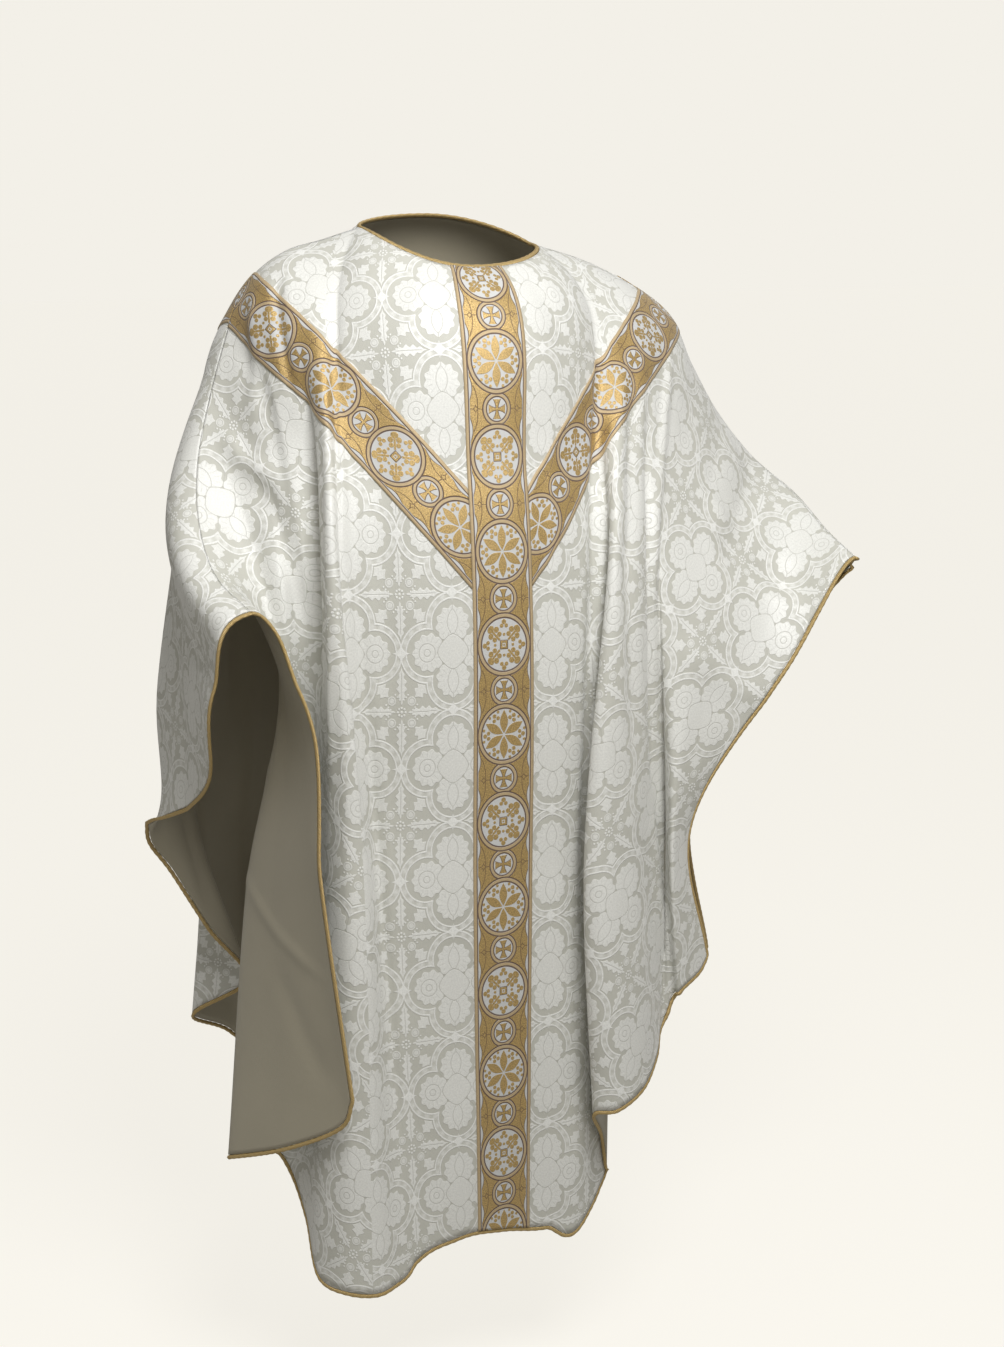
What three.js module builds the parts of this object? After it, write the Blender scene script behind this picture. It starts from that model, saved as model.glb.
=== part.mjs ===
// Gothic chasuble, as it hangs when worn. A front and a back panel of damask over a lining are joined along
// the shoulders and the raised arms, with a galloon orphrey and braided edges.
// Millimetres: +X is the wearer's left, -Y the front, +Z up, and the origin lies in the neckline.
import * as THREE from "three";

// Thickness of each layer, and the gap that is left where two pieces are sewn together
const DAMASK = 1.2;
const LINING = 1.0;
const GALLOON = 1.0;
const SEWN_GAP = 0.3;

// Trims: the orphrey's band, the two arms that rise from it to the shoulders, and the braids
const BAND_WIDTH = 78;
const ARM_START = 331; // depth below the neckline at which an arm's centre line leaves the band
const ARM_LEAN = THREE.MathUtils.degToRad(40);
const EDGE_BRAID = 6;
const NECK_BRAID = 8;
const BRAID_PROUD = 0.6; // the braid stands this far above the damask and below the lining

// The cloth runs out from the shoulder seam at this angle to its square, near the neck, so that it fans
const FAN = THREE.MathUtils.degToRad(30);
const FAN_ENDS = 1.4; // station at which the fanning has died away

// Layers as heights over the damask's outer face
const LAYER = {
  galloon: [SEWN_GAP + GALLOON, SEWN_GAP],
  damask: [0, -DAMASK],
  lining: [-DAMASK - SEWN_GAP, -DAMASK - SEWN_GAP - LINING],
  braid: [BRAID_PROUD, -DAMASK - SEWN_GAP - LINING - BRAID_PROUD],
};

// How many parts a panel has from top to hem, and how much they crowd to the shoulder
const LEVELS = 12;
const CROWDING = 1.15;

// Where the cloth is stretched on the bias, a step along a level still goes this share of its length across
const LEAST_ACROSS = 0.35;

// The shoulder and arm seam on each side, from the neck point to the wrist
const RIGHT_SEAM = [
  [-113, 8, 37],
  [-160, 12, 22],
  [-205, 16, 9],
  [-241, 20, -15],
  [-271, 18, -58],
  [-294, 8, -113],
  [-318, -10, -180],
  [-340, -45, -244],
  [-352, -95, -311],
  [-345, -155, -372],
  [-318, -215, -405],
];
const LEFT_SEAM = [
  [125, 8, 14],
  [205, 14, -10],
  [269, 20, -40],
  [322, 24, -77],
  [362, 24, -147],
  [407, 18, -221],
  [455, 0, -283],
  [484, -50, -320],
  [497, -125, -363],
  [499, -205, -388],
];

// Each row is one line of the drape, from the top edge to the hem. "at" is its station: 0 is the centre,
// -1 and 1 the neck points, -2 and 2 the wrists. "reach" and "slope" say how far and how steeply the cloth
// runs out from the top before it falls, and the points are where it hangs at three heights.
const FRONT_ROWS = [
  { at: -2, reach: 120, slope: -0.10, chest: [-270, -250, -497], waist: [-254, -270, -731], hem: [-222, -280, -1018] },
  { at: -1.9, reach: 130, slope: -0.10, chest: [-270, -212, -506], waist: [-262, -235, -741], hem: [-230, -262, -1057] },
  { at: -1.77, reach: 150, slope: -0.10, chest: [-270, -175, -502], waist: [-282, -160, -776], hem: [-285, -185, -1113] },
  { at: -1.63, reach: 170, slope: -0.10, chest: [-272, -152, -456], waist: [-300, -80, -799], hem: [-339, -95, -1157] },
  { at: -1.5, reach: 190, slope: -0.15, chest: [-263, -150, -395], waist: [-272, -72, -791], hem: [-301, -100, -1154] },
  { at: -1.34, reach: 230, slope: -0.20, chest: [-240, -142, -335], waist: [-241, -100, -773], hem: [-270, -115, -1161] },
  { at: -1.19, reach: 300, slope: -0.30, chest: [-220, -142, -281], waist: [-227, -150, -745], hem: [-253, -155, -1230] },
  { at: -1.12, reach: 350, slope: -0.35, chest: [-216, -165, -272], waist: [-224, -206, -728], hem: [-250, -212, -1292] },
  { at: -1.07, reach: 400, slope: -0.40, chest: [-208, -184, -270], waist: [-208, -232, -722], hem: [-222, -246, -1299] },
  { at: -1.02, reach: 440, slope: -0.45, chest: [-195, -185, -270], waist: [-184, -230, -725], hem: [-180, -250, -1306] },
  { at: -0.98, reach: 460, slope: -0.48, chest: [-187, -180, -271], waist: [-170, -208, -734], hem: [-152, -236, -1304] },
  { at: -0.86, reach: 440, slope: -0.50, chest: [-164, -184, -272], waist: [-148, -211, -742], hem: [-124, -222, -1287] },
  { at: -0.5, reach: 350, slope: -0.53, chest: [-108, -208, -265], waist: [-93, -225, -757], hem: [-63, -216, -1266] },
  { at: 0, reach: 320, slope: -0.55, chest: [-7, -222, -262], waist: [-3, -228, -773], hem: [4, -212, -1267] },
  { at: 0.5, reach: 340, slope: -0.53, chest: [49, -217, -265], waist: [57, -222, -782], hem: [67, -208, -1277] },
  { at: 0.88, reach: 450, slope: -0.50, chest: [101, -200, -270], waist: [114, -212, -792], hem: [127, -200, -1277] },
  { at: 0.96, reach: 460, slope: -0.48, chest: [131, -188, -273], waist: [140, -205, -797], hem: [151, -185, -1250] },
  { at: 1.04, reach: 440, slope: -0.45, chest: [148, -184, -274], waist: [160, -198, -802], hem: [163, -180, -1210] },
  { at: 1.08, reach: 410, slope: -0.42, chest: [149, -190, -274], waist: [142, -214, -795], hem: [147, -200, -1154] },
  { at: 1.11, reach: 380, slope: -0.40, chest: [150, -197, -272], waist: [100, -246, -779], hem: [115, -248, -1103] },
  { at: 1.15, reach: 340, slope: -0.36, chest: [158, -205, -272], waist: [114, -268, -774], hem: [139, -272, -1092] },
  { at: 1.2, reach: 300, slope: -0.32, chest: [183, -200, -286], waist: [168, -252, -785], hem: [185, -256, -1075] },
  { at: 1.25, reach: 280, slope: -0.28, chest: [213, -176, -297], waist: [211, -214, -788], hem: [221, -218, -1050] },
  { at: 1.3, reach: 260, slope: -0.26, chest: [229, -166, -306], waist: [240, -188, -786], hem: [237, -192, -1026] },
  { at: 1.37, reach: 240, slope: -0.24, chest: [240, -168, -326], waist: [237, -202, -767], hem: [249, -190, -993] },
  { at: 1.6, reach: 180, slope: -0.18, chest: [300, -170, -388], waist: [233, -226, -760], hem: [259, -205, -966] },
  { at: 1.83, reach: 110, slope: -0.12, chest: [368, -190, -475], waist: [247, -218, -764], hem: [293, -195, -946] },
  { at: 2, reach: 70, slope: -0.10, chest: [401, -215, -522], waist: [266, -205, -749], hem: [308, -185, -932] },
];
const BACK_ROWS = [
  { at: -2, reach: 200, slope: -0.05, chest: [-364, -200, -501], waist: [-358, -110, -642], hem: [-401, 57, -740] },
  { at: -1.88, reach: 210, slope: -0.08, chest: [-364, -90, -475], waist: [-372, -20, -594], hem: [-393, 82, -773] },
  { at: -1.74, reach: 210, slope: -0.10, chest: [-365, 0, -428], waist: [-380, 60, -599], hem: [-365, 95, -817] },
  { at: -1.58, reach: 200, slope: -0.15, chest: [-348, 80, -403], waist: [-361, 115, -670], hem: [-314, 115, -912] },
  { at: -1.42, reach: 210, slope: -0.20, chest: [-305, 125, -373], waist: [-326, 150, -739], hem: [-257, 140, -1007] },
  { at: -1.28, reach: 280, slope: -0.26, chest: [-262, 155, -330], waist: [-299, 195, -828], hem: [-326, 190, -1068] },
  { at: -1.15, reach: 310, slope: -0.33, chest: [-215, 166, -300], waist: [-235, 212, -720], hem: [-262, 238, -1120] },
  { at: -1, reach: 330, slope: -0.40, chest: [-160, 168, -290], waist: [-178, 188, -740], hem: [-190, 198, -1190] },
  { at: -0.55, reach: 270, slope: -0.42, chest: [-85, 168, -290], waist: [-95, 215, -770], hem: [-105, 242, -1270] },
  { at: 0, reach: 240, slope: -0.42, chest: [0, 163, -290], waist: [0, 205, -780], hem: [0, 228, -1295] },
  { at: 0.55, reach: 270, slope: -0.42, chest: [85, 168, -290], waist: [95, 215, -770], hem: [105, 242, -1270] },
  { at: 1, reach: 330, slope: -0.40, chest: [162, 168, -300], waist: [178, 188, -740], hem: [190, 198, -1190] },
  { at: 1.14, reach: 310, slope: -0.34, chest: [228, 166, -320], waist: [238, 213, -720], hem: [240, 236, -1120] },
  { at: 1.27, reach: 280, slope: -0.27, chest: [290, 152, -370], waist: [290, 172, -700], hem: [280, 178, -1040] },
  { at: 1.42, reach: 210, slope: -0.21, chest: [340, 135, -430], waist: [389, 190, -903], hem: [379, 195, -1148] },
  { at: 1.62, reach: 180, slope: -0.16, chest: [385, 100, -500], waist: [395, 130, -885], hem: [412, 150, -1111] },
  { at: 1.83, reach: 120, slope: -0.10, chest: [442, 0, -568], waist: [390, 70, -836], hem: [427, 105, -1059] },
  { at: 2, reach: 60, slope: -0.08, chest: [429, -110, -537], waist: [379, 20, -812], hem: [433, 80, -1024] },
];

// A panel: the way it faces along Y, the middle of its neckline, and its rows
const FRONT = { name: "front", facing: -1, collar: { y: -120, z: -11 }, rows: FRONT_ROWS };
const BACK = { name: "back", facing: 1, collar: { y: 92, z: 50 }, rows: BACK_ROWS };
const COLLAR_CURVE = 1.6; // how fast the neckline rises from its middle to the neck points

// Both panels are cut along the same lines, so that their edges fit: the front's rows and the lines halfway
// between them
const COLUMNS = FRONT.rows.flatMap(({ at }, i, rows) => (i === 0 ? [at] : [(rows[i - 1].at + at) / 2, at]));

const add = (a, b, k = 1) => a.map((x, i) => x + k * b[i]);
const scale = (a, k) => a.map((x) => x * k);
const dot = (a, b) => a.reduce((sum, x, i) => sum + x * b[i], 0);
const distance = (a, b) => Math.hypot(...add(b, a, -1));
const unit = (a) => scale(a, 1 / Math.hypot(...a));
const cross = (a, b) => new THREE.Vector3(...a).cross(new THREE.Vector3(...b)).toArray();
const mix = (a, b, k) => a.map((x, i) => x + (b[i] - x) * k);
const smooth = (x) => THREE.MathUtils.smoothstep(x, 0, 1);

// The cubic from p0 to p1 that leaves with slope m0 and arrives with slope m1
function hermite(p0, p1, m0, m1, s) {
  const h = s * s * (3 - 2 * s);
  const from = s * (1 - s) * (1 - s);
  const to = s * s * (s - 1);
  return p0.map((x, i) => x + h * (p1[i] - x) + from * m0[i] + to * m1[i]);
}

// Which stretch of the rising numbers holds x
function stretch(numbers, x) {
  const next = numbers.findIndex((n, i) => i > 0 && x < n);
  return next < 0 ? numbers.length - 2 : next - 1;
}

// A smooth curve through the values at unevenly spaced places
function spline(places, values, x) {
  const gap = places.slice(1).map((p, i) => p - places[i]);
  const chord = gap.map((g, i) => scale(add(values[i + 1], values[i], -1), 1 / g));
  const slopeAt = (i) => {
    if (i === 0) return chord[0];
    if (i === gap.length) return chord[i - 1];
    return mix(chord[i - 1], chord[i], gap[i - 1] / (gap[i - 1] + gap[i]));
  };
  const i = stretch(places, x);
  const s = (x - places[i]) / gap[i];
  return hermite(values[i], values[i + 1], scale(slopeAt(i), gap[i]), scale(slopeAt(i + 1), gap[i]), s);
}

// The running length along a list of points
function lengths(points) {
  const run = [0];
  points.slice(1).forEach((p, i) => run.push(run[i] + distance(p, points[i])));
  return run;
}

// The top edge before the panels are parted: half an oval round the neck, then the seam to the wrist
function topLine(panel, station) {
  const seam = station < 0 ? RIGHT_SEAM : LEFT_SEAM;
  const along = Math.abs(station);
  if (along > 1) {
    const run = lengths(seam);
    return spline(run.map((l) => l / run.at(-1)), seam, along - 1);
  }
  const [x, y, z] = seam[0];
  const turn = (along * Math.PI) / 2;
  const forward = Math.cos(turn);
  const rise = forward ** COLLAR_CURVE;
  return [x * Math.sin(turn), y + (panel.collar.y - y) * forward, z + (panel.collar.z - z) * rise];
}

// The seam's own direction, away from the neck
function seamDirection(station) {
  const step = 2e-3;
  const side = station < 0 ? -1 : 1;
  const along = THREE.MathUtils.clamp(Math.abs(station), 1 + 2 * step, 2);
  const ahead = topLine(FRONT, side * Math.min(along + step, 2));
  return unit(add(ahead, topLine(FRONT, side * (along - step)), -1));
}

// The level direction in which the cloth leaves its top edge: square to the seam, turned outward near the
// neck, and straight ahead at the centre
function leaving(panel, station) {
  const along = Math.abs(station);
  const [x, y] = unit(seamDirection(station).slice(0, 2));
  const square = scale([y, -x], -panel.facing * (station < 0 ? -1 : 1));
  const near = Math.min(along, 1);
  const level = unit(mix([0, panel.facing], square, near));
  const fade = along < 1 ? along : (FAN_ENDS - along) / (FAN_ENDS - 1);
  const turn = FAN * smooth(fade);
  return add(scale(level, Math.cos(turn)), [x, y], Math.sin(turn));
}

// The panel's own top edge, parted from the other panel's by half the sewn gap
function topPoint(panel, station) {
  const way = Math.abs(station) < 1 ? [0, panel.facing] : leaving(panel, station);
  return add(topLine(panel, station), [...way, 0], SEWN_GAP / 2);
}

// The line of the drape at a station: four points, the chords between them and the slopes at them
function rib(panel, station) {
  const rows = panel.rows;
  const values = rows.map((r) => [r.reach, r.slope, ...r.chest, ...r.waist, ...r.hem]);
  const [reach, slope, ...places] = spline(rows.map((r) => r.at), values, station);
  const points = [topPoint(panel, station), places.slice(0, 3), places.slice(3, 6), places.slice(6, 9)];
  const knots = lengths(points);
  const chord = knots.slice(1).map((k, i) => k - knots[i]);
  const way = chord.map((c, i) => scale(add(points[i + 1], points[i], -1), 1 / c));
  const slopes = [
    scale([...leaving(panel, station), slope], reach / chord[0]),
    mix(way[0], way[1], chord[0] / (chord[0] + chord[1])),
    mix(way[1], way[2], chord[1] / (chord[1] + chord[2])),
    way[2],
  ];
  return { points, knots, chord, slopes };
}

// The point at a share of the way from the top edge to the hem
function ribPoint({ points, knots, chord, slopes }, share) {
  const run = share * knots[3];
  const i = stretch(knots, run);
  const s = (run - knots[i]) / chord[i];
  const [from, to] = [slopes[i], slopes[i + 1]].map((m) => scale(m, chord[i]));
  return hermite(points[i], points[i + 1], from, to, s);
}

// Square to both panels' cloth along the seam, so that their edges stay parallel there
function seamNormal(station) {
  const outward = [FRONT, BACK].map((panel) => {
    const slope = spline(panel.rows.map((r) => r.at), panel.rows.map((r) => [r.slope]), station)[0];
    const along = scale(seamDirection(station), station < 0 ? -1 : 1);
    return scale(unit(cross(along, [...leaving(panel, station), slope])), panel.facing);
  });
  return unit(add(...outward));
}

// The normal at a corner of the grid: the mean of the faces that meet there, shared with the other panel at
// the seam
function cornerNormal(panel, points, i, j) {
  const here = points[i][j];
  const across = [];
  if (i > 0) across.push(add(here, points[i - 1][j], -1));
  if (i + 1 < points.length) across.push(add(points[i + 1][j], here, -1));
  const down = [];
  if (j > 0) down.push(add(here, points[i][j - 1], -1));
  if (j < LEVELS) down.push(add(points[i][j + 1], here, -1));
  const faces = across.flatMap((a) => down.map((d) => unit(cross(a, d))));
  const own = scale(unit(faces.reduce((sum, face) => add(sum, face))), panel.facing);
  if (j > 0) return own;
  const station = COLUMNS[i];
  const seamShare = smooth((Math.abs(station) - 0.7) / 0.3);
  return unit(mix(own, seamNormal(Math.sign(station) * Math.max(Math.abs(station), 1)), seamShare));
}

// A panel's grid. Each corner has its point p, its normal n, and the place (across, depth) that it has when
// the panel lies flat: depth along its line of the drape, set by its height at the waist, and across from
// the centre line, which is what is left of each step along a level once its change of depth is taken off.
function drape(panel) {
  const shares = Array.from({ length: LEVELS + 1 }, (_, j) => (j / LEVELS) ** CROWDING);
  const ribs = COLUMNS.map((station) => rib(panel, station));
  const points = ribs.map((r) => shares.map((share) => ribPoint(r, share)));
  const depths = points.map((column, i) => {
    const run = lengths(column);
    const waist = spline(shares, run.map((l) => [l]), ribs[i].knots[2] / ribs[i].knots[3])[0];
    return run.map((l) => l - waist - ribs[i].points[2][2]);
  });
  const acrossAt = shares.map((_, j) => {
    const run = [0];
    points.slice(1).forEach((column, i) => {
      const step = distance(column[j], points[i][j]);
      const deeper = depths[i + 1][j] - depths[i][j];
      run.push(run[i] + Math.sqrt(Math.max(step ** 2 - deeper ** 2, (LEAST_ACROSS * step) ** 2)));
    });
    return run.map((l) => l - run[COLUMNS.indexOf(0)]);
  });
  const corners = points.map((column, i) =>
    column.map((p, j) => ({ p, n: cornerNormal(panel, points, i, j), across: acrossAt[j][i], depth: depths[i][j] })),
  );
  return { panel, corners };
}

// The grid's triangles, wound so that they face outward
function triangles({ panel, corners }) {
  const found = [];
  for (let i = 0; i + 1 < corners.length; i += 1) {
    for (let j = 0; j < LEVELS; j += 1) {
      const [a, b] = [corners[i][j], corners[i][j + 1]];
      const [d, c] = [corners[i + 1][j], corners[i + 1][j + 1]];
      found.push([a, b, c], [a, c, d]);
    }
  }
  return panel.facing < 0 ? found : found.map((t) => t.reverse());
}

// The part of a flat polygon on the side where value is above zero. A corner close to the line is on it.
const ON_LINE = 0.05;
function clip(polygon, value) {
  const at = polygon.map((corner) => {
    const v = value(corner);
    return Math.abs(v) < ON_LINE ? 0 : v;
  });
  return polygon.flatMap((corner, i) => {
    const k = (i + 1) % polygon.length;
    const kept = at[i] >= 0 ? [corner] : [];
    if (at[i] * at[k] >= 0) return kept;
    const [inside, outside] = at[i] > 0 ? [i, k] : [k, i];
    const s = at[inside] / (at[inside] - at[outside]);
    return [...kept, mixCorner(polygon[inside], polygon[outside], s)];
  });
}

function mixCorner(a, b, s) {
  const [across, depth] = mix([a.across, a.depth], [b.across, b.depth], s);
  return { p: mix(a.p, b.p, s), n: mix(a.n, b.n, s), across, depth };
}

// A piece of a panel cut out where every one of the values is above zero
function cutOut(faces, values) {
  return faces.flatMap((face) => {
    const polygon = values.reduce((left, value) => clip(left, value), face);
    return polygon.slice(2).map((corner, i) => [polygon[0], polygon[i + 1], corner]);
  });
}

// A closed layer between two heights over a surface. Its sides follow each edge that only one triangle has,
// and are split the same way on both panels, so that they fit along the seam.
function layer(faces, [top, bottom]) {
  const numbers = new Map();
  const corners = [];
  const numberOf = (corner) => {
    const key = corner.p.map((x) => Math.round(x * 1e4)).join();
    if (!numbers.has(key)) {
      numbers.set(key, corners.length);
      corners.push(corner);
    }
    return numbers.get(key);
  };
  const numbered = faces.map((face) => face.map(numberOf)).filter(([a, b, c]) => a !== b && b !== c && c !== a);
  const edges = numbered.flatMap(([a, b, c]) => [[a, b], [b, c], [c, a]]);
  const known = new Set(edges.map((edge) => edge.join()));
  const rim = edges.filter(([a, b]) => !known.has([b, a].join()));
  const under = corners.length;
  const index = [
    ...numbered.flat(),
    ...numbered.flatMap(([a, b, c]) => [c + under, b + under, a + under]),
    ...rim.flatMap(([a, b]) =>
      corners[a].across < corners[b].across
        ? [b, a, b + under, a, a + under, b + under]
        : [b, a, a + under, b, a + under, b + under],
    ),
  ];
  const points = [top, bottom].flatMap((height) => corners.map(({ p, n }) => add(p, n, height)));
  return geometry(points, index);
}

function geometry(points, index) {
  const made = new THREE.BufferGeometry();
  made.setAttribute("position", new THREE.Float32BufferAttribute(points.flat(), 3));
  made.setIndex(index);
  made.computeVertexNormals();
  return made;
}

// The way out of a corner that two edges share, long enough for both
const mitre = (a, b) => scale(add(a, b), 1 / (1 + dot(a, b)));

// A braid of rectangular section beside a path on the cloth's edge, on the side that side gives. Its ends
// stand square to the ways out at the path's ends, and its twisted faces are split so that they bow away
// from the cloth.
function braid(path, width, side, [startWay, endWay]) {
  const [top, bottom] = LAYER.braid;
  const ring = [[0, top], [width, top], [width, bottom], [0, bottom]];
  if (side < 0) ring.reverse();
  const ways = path.slice(1).map(({ p, n }, i) => {
    const square = cross(add(n, path[i].n), add(p, path[i].p, -1));
    return scale(unit(square), side);
  });
  const outAt = (i) => {
    if (i === 0) return startWay;
    return i === ways.length ? endWay : mitre(ways[i - 1], ways[i]);
  };
  const points = path.flatMap(({ p, n }, i) => {
    const out = outAt(i);
    return ring.map(([beyond, height]) => add(add(p, out, SEWN_GAP + beyond), n, height));
  });
  const index = [0, 1, 2, 0, 2, 3];
  for (let at = 0; at < points.length - 4; at += 4) {
    for (let k = 0; k < 4; k += 1) {
      const [a, b] = [at + k, at + ((k + 1) % 4)];
      const [one, other] = [[a, b + 4], [a + 4, b]].map(([x, y]) => add(points[x], points[y]));
      const outer = dot(add(one, other, -1), outAt(at / 4)) > 0;
      index.push(...(outer ? [a, a + 4, b + 4, a, b + 4, b] : [a, a + 4, b, a + 4, b + 4, b]));
    }
  }
  const end = points.length - 4;
  index.push(end, end + 2, end + 1, end, end + 3, end + 2);
  return geometry(points, index);
}

// Down one open side, along the hem and up the other
function edgeBraid({ panel, corners }) {
  const last = corners.length - 1;
  const right = corners[0].slice(0, LEVELS);
  const left = corners[last].slice(0, LEVELS).reverse();
  const path = [...right, ...corners.map((column) => column[LEVELS]), ...left];
  return braid(path, EDGE_BRAID, panel.facing, [seamDirection(-2), seamDirection(2)]);
}

// Round the panel's half of the neckline, with the braid standing in towards the neck
function neckBraid({ panel, corners }) {
  const path = corners.filter((_, i) => Math.abs(COLUMNS[i]) <= 1).map((column) => column[0]);
  return braid(path, NECK_BRAID, -panel.facing, [[1, 0, 0], [-1, 0, 0]]);
}

const finish = (color, roughness, metalness = 0) =>
  new THREE.MeshStandardMaterial({ color, roughness, metalness, side: THREE.DoubleSide });
const FINISH = {
  damask: finish("#cfcabb", 0.55),
  lining: finish("#a39e88", 0.4),
  galloon: finish("#d6c391", 0.55, 0.1),
  braid: finish("#b08d4f", 0.45, 0.5),
};

const chasuble = new THREE.Group();
function sew(name, made, material) {
  const mesh = new THREE.Mesh(made, FINISH[material]);
  mesh.name = name;
  chasuble.add(mesh);
}

const half = BAND_WIDTH / 2;
const inBand = [({ across }) => half - across, ({ across }) => half + across];
const leanOf = (side, { across, depth }) =>
  (side * across - half) * Math.cos(ARM_LEAN) + (depth - ARM_START) * Math.sin(ARM_LEAN);
const inArm = (side) => [
  (corner) => side * corner.across - half - SEWN_GAP,
  (corner) => half - leanOf(side, corner),
  (corner) => half + leanOf(side, corner),
];

for (const panel of [FRONT, BACK]) {
  const cloth = drape(panel);
  const faces = triangles(cloth);
  sew(`${panel.name}_damask`, layer(faces, LAYER.damask), "damask");
  sew(`${panel.name}_lining`, layer(faces, LAYER.lining), "lining");
  sew(`${panel.name}_orphrey_band`, layer(cutOut(faces, inBand), LAYER.galloon), "galloon");
  sew(`${panel.name}_orphrey_arm_right`, layer(cutOut(faces, inArm(-1)), LAYER.galloon), "galloon");
  sew(`${panel.name}_orphrey_arm_left`, layer(cutOut(faces, inArm(1)), LAYER.galloon), "galloon");
  sew(`${panel.name}_edge_braid`, edgeBraid(cloth), "braid");
  sew(`${panel.name}_neck_braid`, neckBraid(cloth), "braid");
}

export default chasuble;
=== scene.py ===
import functools
import math

import bpy
import numpy as np
from mathutils import Matrix, Vector


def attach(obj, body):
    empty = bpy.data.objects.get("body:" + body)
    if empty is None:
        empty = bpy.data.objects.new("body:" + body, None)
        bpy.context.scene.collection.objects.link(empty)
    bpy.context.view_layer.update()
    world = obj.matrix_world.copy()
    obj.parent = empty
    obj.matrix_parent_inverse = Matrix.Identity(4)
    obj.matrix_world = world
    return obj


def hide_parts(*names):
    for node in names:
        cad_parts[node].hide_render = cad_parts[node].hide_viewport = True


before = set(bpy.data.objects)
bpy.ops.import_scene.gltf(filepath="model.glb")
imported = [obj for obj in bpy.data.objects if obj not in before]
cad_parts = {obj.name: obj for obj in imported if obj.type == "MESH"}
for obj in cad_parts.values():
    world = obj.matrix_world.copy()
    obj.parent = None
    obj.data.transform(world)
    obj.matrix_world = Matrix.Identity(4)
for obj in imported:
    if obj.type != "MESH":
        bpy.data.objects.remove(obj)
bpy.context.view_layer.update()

bl_info = {
    "name": "Gothic chasuble",
    "version": (1, 0, 0),
    "blender": (4, 5, 0),
    "location": "3D View > Sidebar > Chasuble",
    "description": "Dresses the chasuble's panels in damask, lining, galloon and braid",
    "category": "Object",
}

MM = 0.001

# ---------------------------------------------------------------- the drape's driving sizes, in millimetres

SEWN_GAP = 0.3
SEAMS = {
    -1: [(-113, 8, 37), (-160, 12, 22), (-205, 16, 9), (-241, 20, -15), (-271, 18, -58), (-294, 8, -113),
         (-318, -10, -180), (-340, -45, -244), (-352, -95, -311), (-345, -155, -372), (-318, -215, -405)],
    1: [(125, 8, 14), (205, 14, -10), (269, 20, -40), (322, 24, -77), (362, 24, -147), (407, 18, -221),
        (455, 0, -283), (484, -50, -320), (497, -125, -363), (499, -205, -388)],
}
FAN = math.radians(30)  # how far the cloth is turned outward as it leaves the seam near the neck
FAN_ENDS = 1.4  # station at which the fanning has died away
COLLAR_CURVE = 1.6
LEVEL_GROWTH = 1.1  # above 1, the levels of a panel's grid lie closer together near its top

# A row is one line of the drape: its station, how far and how steeply the cloth runs out from the top edge,
# and where it hangs at the chest, at the waist and at the hem
FRONT_ROWS = [
    # at, reach, slope, chest, waist, hem
    (-2, 120, -0.10, (-270, -250, -497), (-254, -270, -731), (-222, -280, -1018)),
    (-1.9, 130, -0.10, (-270, -212, -506), (-262, -235, -741), (-230, -262, -1057)),
    (-1.77, 150, -0.10, (-270, -175, -502), (-282, -160, -776), (-285, -185, -1113)),
    (-1.63, 170, -0.10, (-272, -152, -456), (-300, -80, -799), (-339, -95, -1157)),
    (-1.5, 190, -0.15, (-263, -150, -395), (-272, -72, -791), (-301, -100, -1154)),
    (-1.34, 230, -0.20, (-240, -142, -335), (-241, -100, -773), (-270, -115, -1161)),
    (-1.19, 300, -0.30, (-220, -142, -281), (-227, -150, -745), (-253, -155, -1230)),
    (-1.12, 350, -0.35, (-216, -165, -272), (-224, -206, -728), (-250, -212, -1292)),
    (-1.07, 400, -0.40, (-208, -184, -270), (-208, -232, -722), (-222, -246, -1299)),
    (-1.02, 440, -0.45, (-195, -185, -270), (-184, -230, -725), (-180, -250, -1306)),
    (-0.98, 460, -0.48, (-187, -180, -271), (-170, -208, -734), (-152, -236, -1304)),
    (-0.86, 440, -0.50, (-164, -184, -272), (-148, -211, -742), (-124, -222, -1287)),
    (-0.5, 350, -0.53, (-108, -208, -265), (-93, -225, -757), (-63, -216, -1266)),
    (0, 320, -0.55, (-7, -222, -262), (-3, -228, -773), (4, -212, -1267)),
    (0.5, 340, -0.53, (49, -217, -265), (57, -222, -782), (67, -208, -1277)),
    (0.88, 450, -0.50, (101, -200, -270), (114, -212, -792), (127, -200, -1277)),
    (0.96, 460, -0.48, (131, -188, -273), (140, -205, -797), (151, -185, -1250)),
    (1.04, 440, -0.45, (148, -184, -274), (160, -198, -802), (163, -180, -1210)),
    (1.08, 410, -0.42, (149, -190, -274), (142, -214, -795), (147, -200, -1154)),
    (1.11, 380, -0.40, (150, -197, -272), (100, -246, -779), (115, -248, -1103)),
    (1.15, 340, -0.36, (158, -205, -272), (114, -268, -774), (139, -272, -1092)),
    (1.2, 300, -0.32, (183, -200, -286), (168, -252, -785), (185, -256, -1075)),
    (1.25, 280, -0.28, (213, -176, -297), (211, -214, -788), (221, -218, -1050)),
    (1.3, 260, -0.26, (229, -166, -306), (240, -188, -786), (237, -192, -1026)),
    (1.37, 240, -0.24, (240, -168, -326), (237, -202, -767), (249, -190, -993)),
    (1.6, 180, -0.18, (300, -170, -388), (233, -226, -760), (259, -205, -966)),
    (1.83, 110, -0.12, (368, -190, -475), (247, -218, -764), (293, -195, -946)),
    (2, 70, -0.10, (401, -215, -522), (266, -205, -749), (308, -185, -932)),
]
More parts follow.
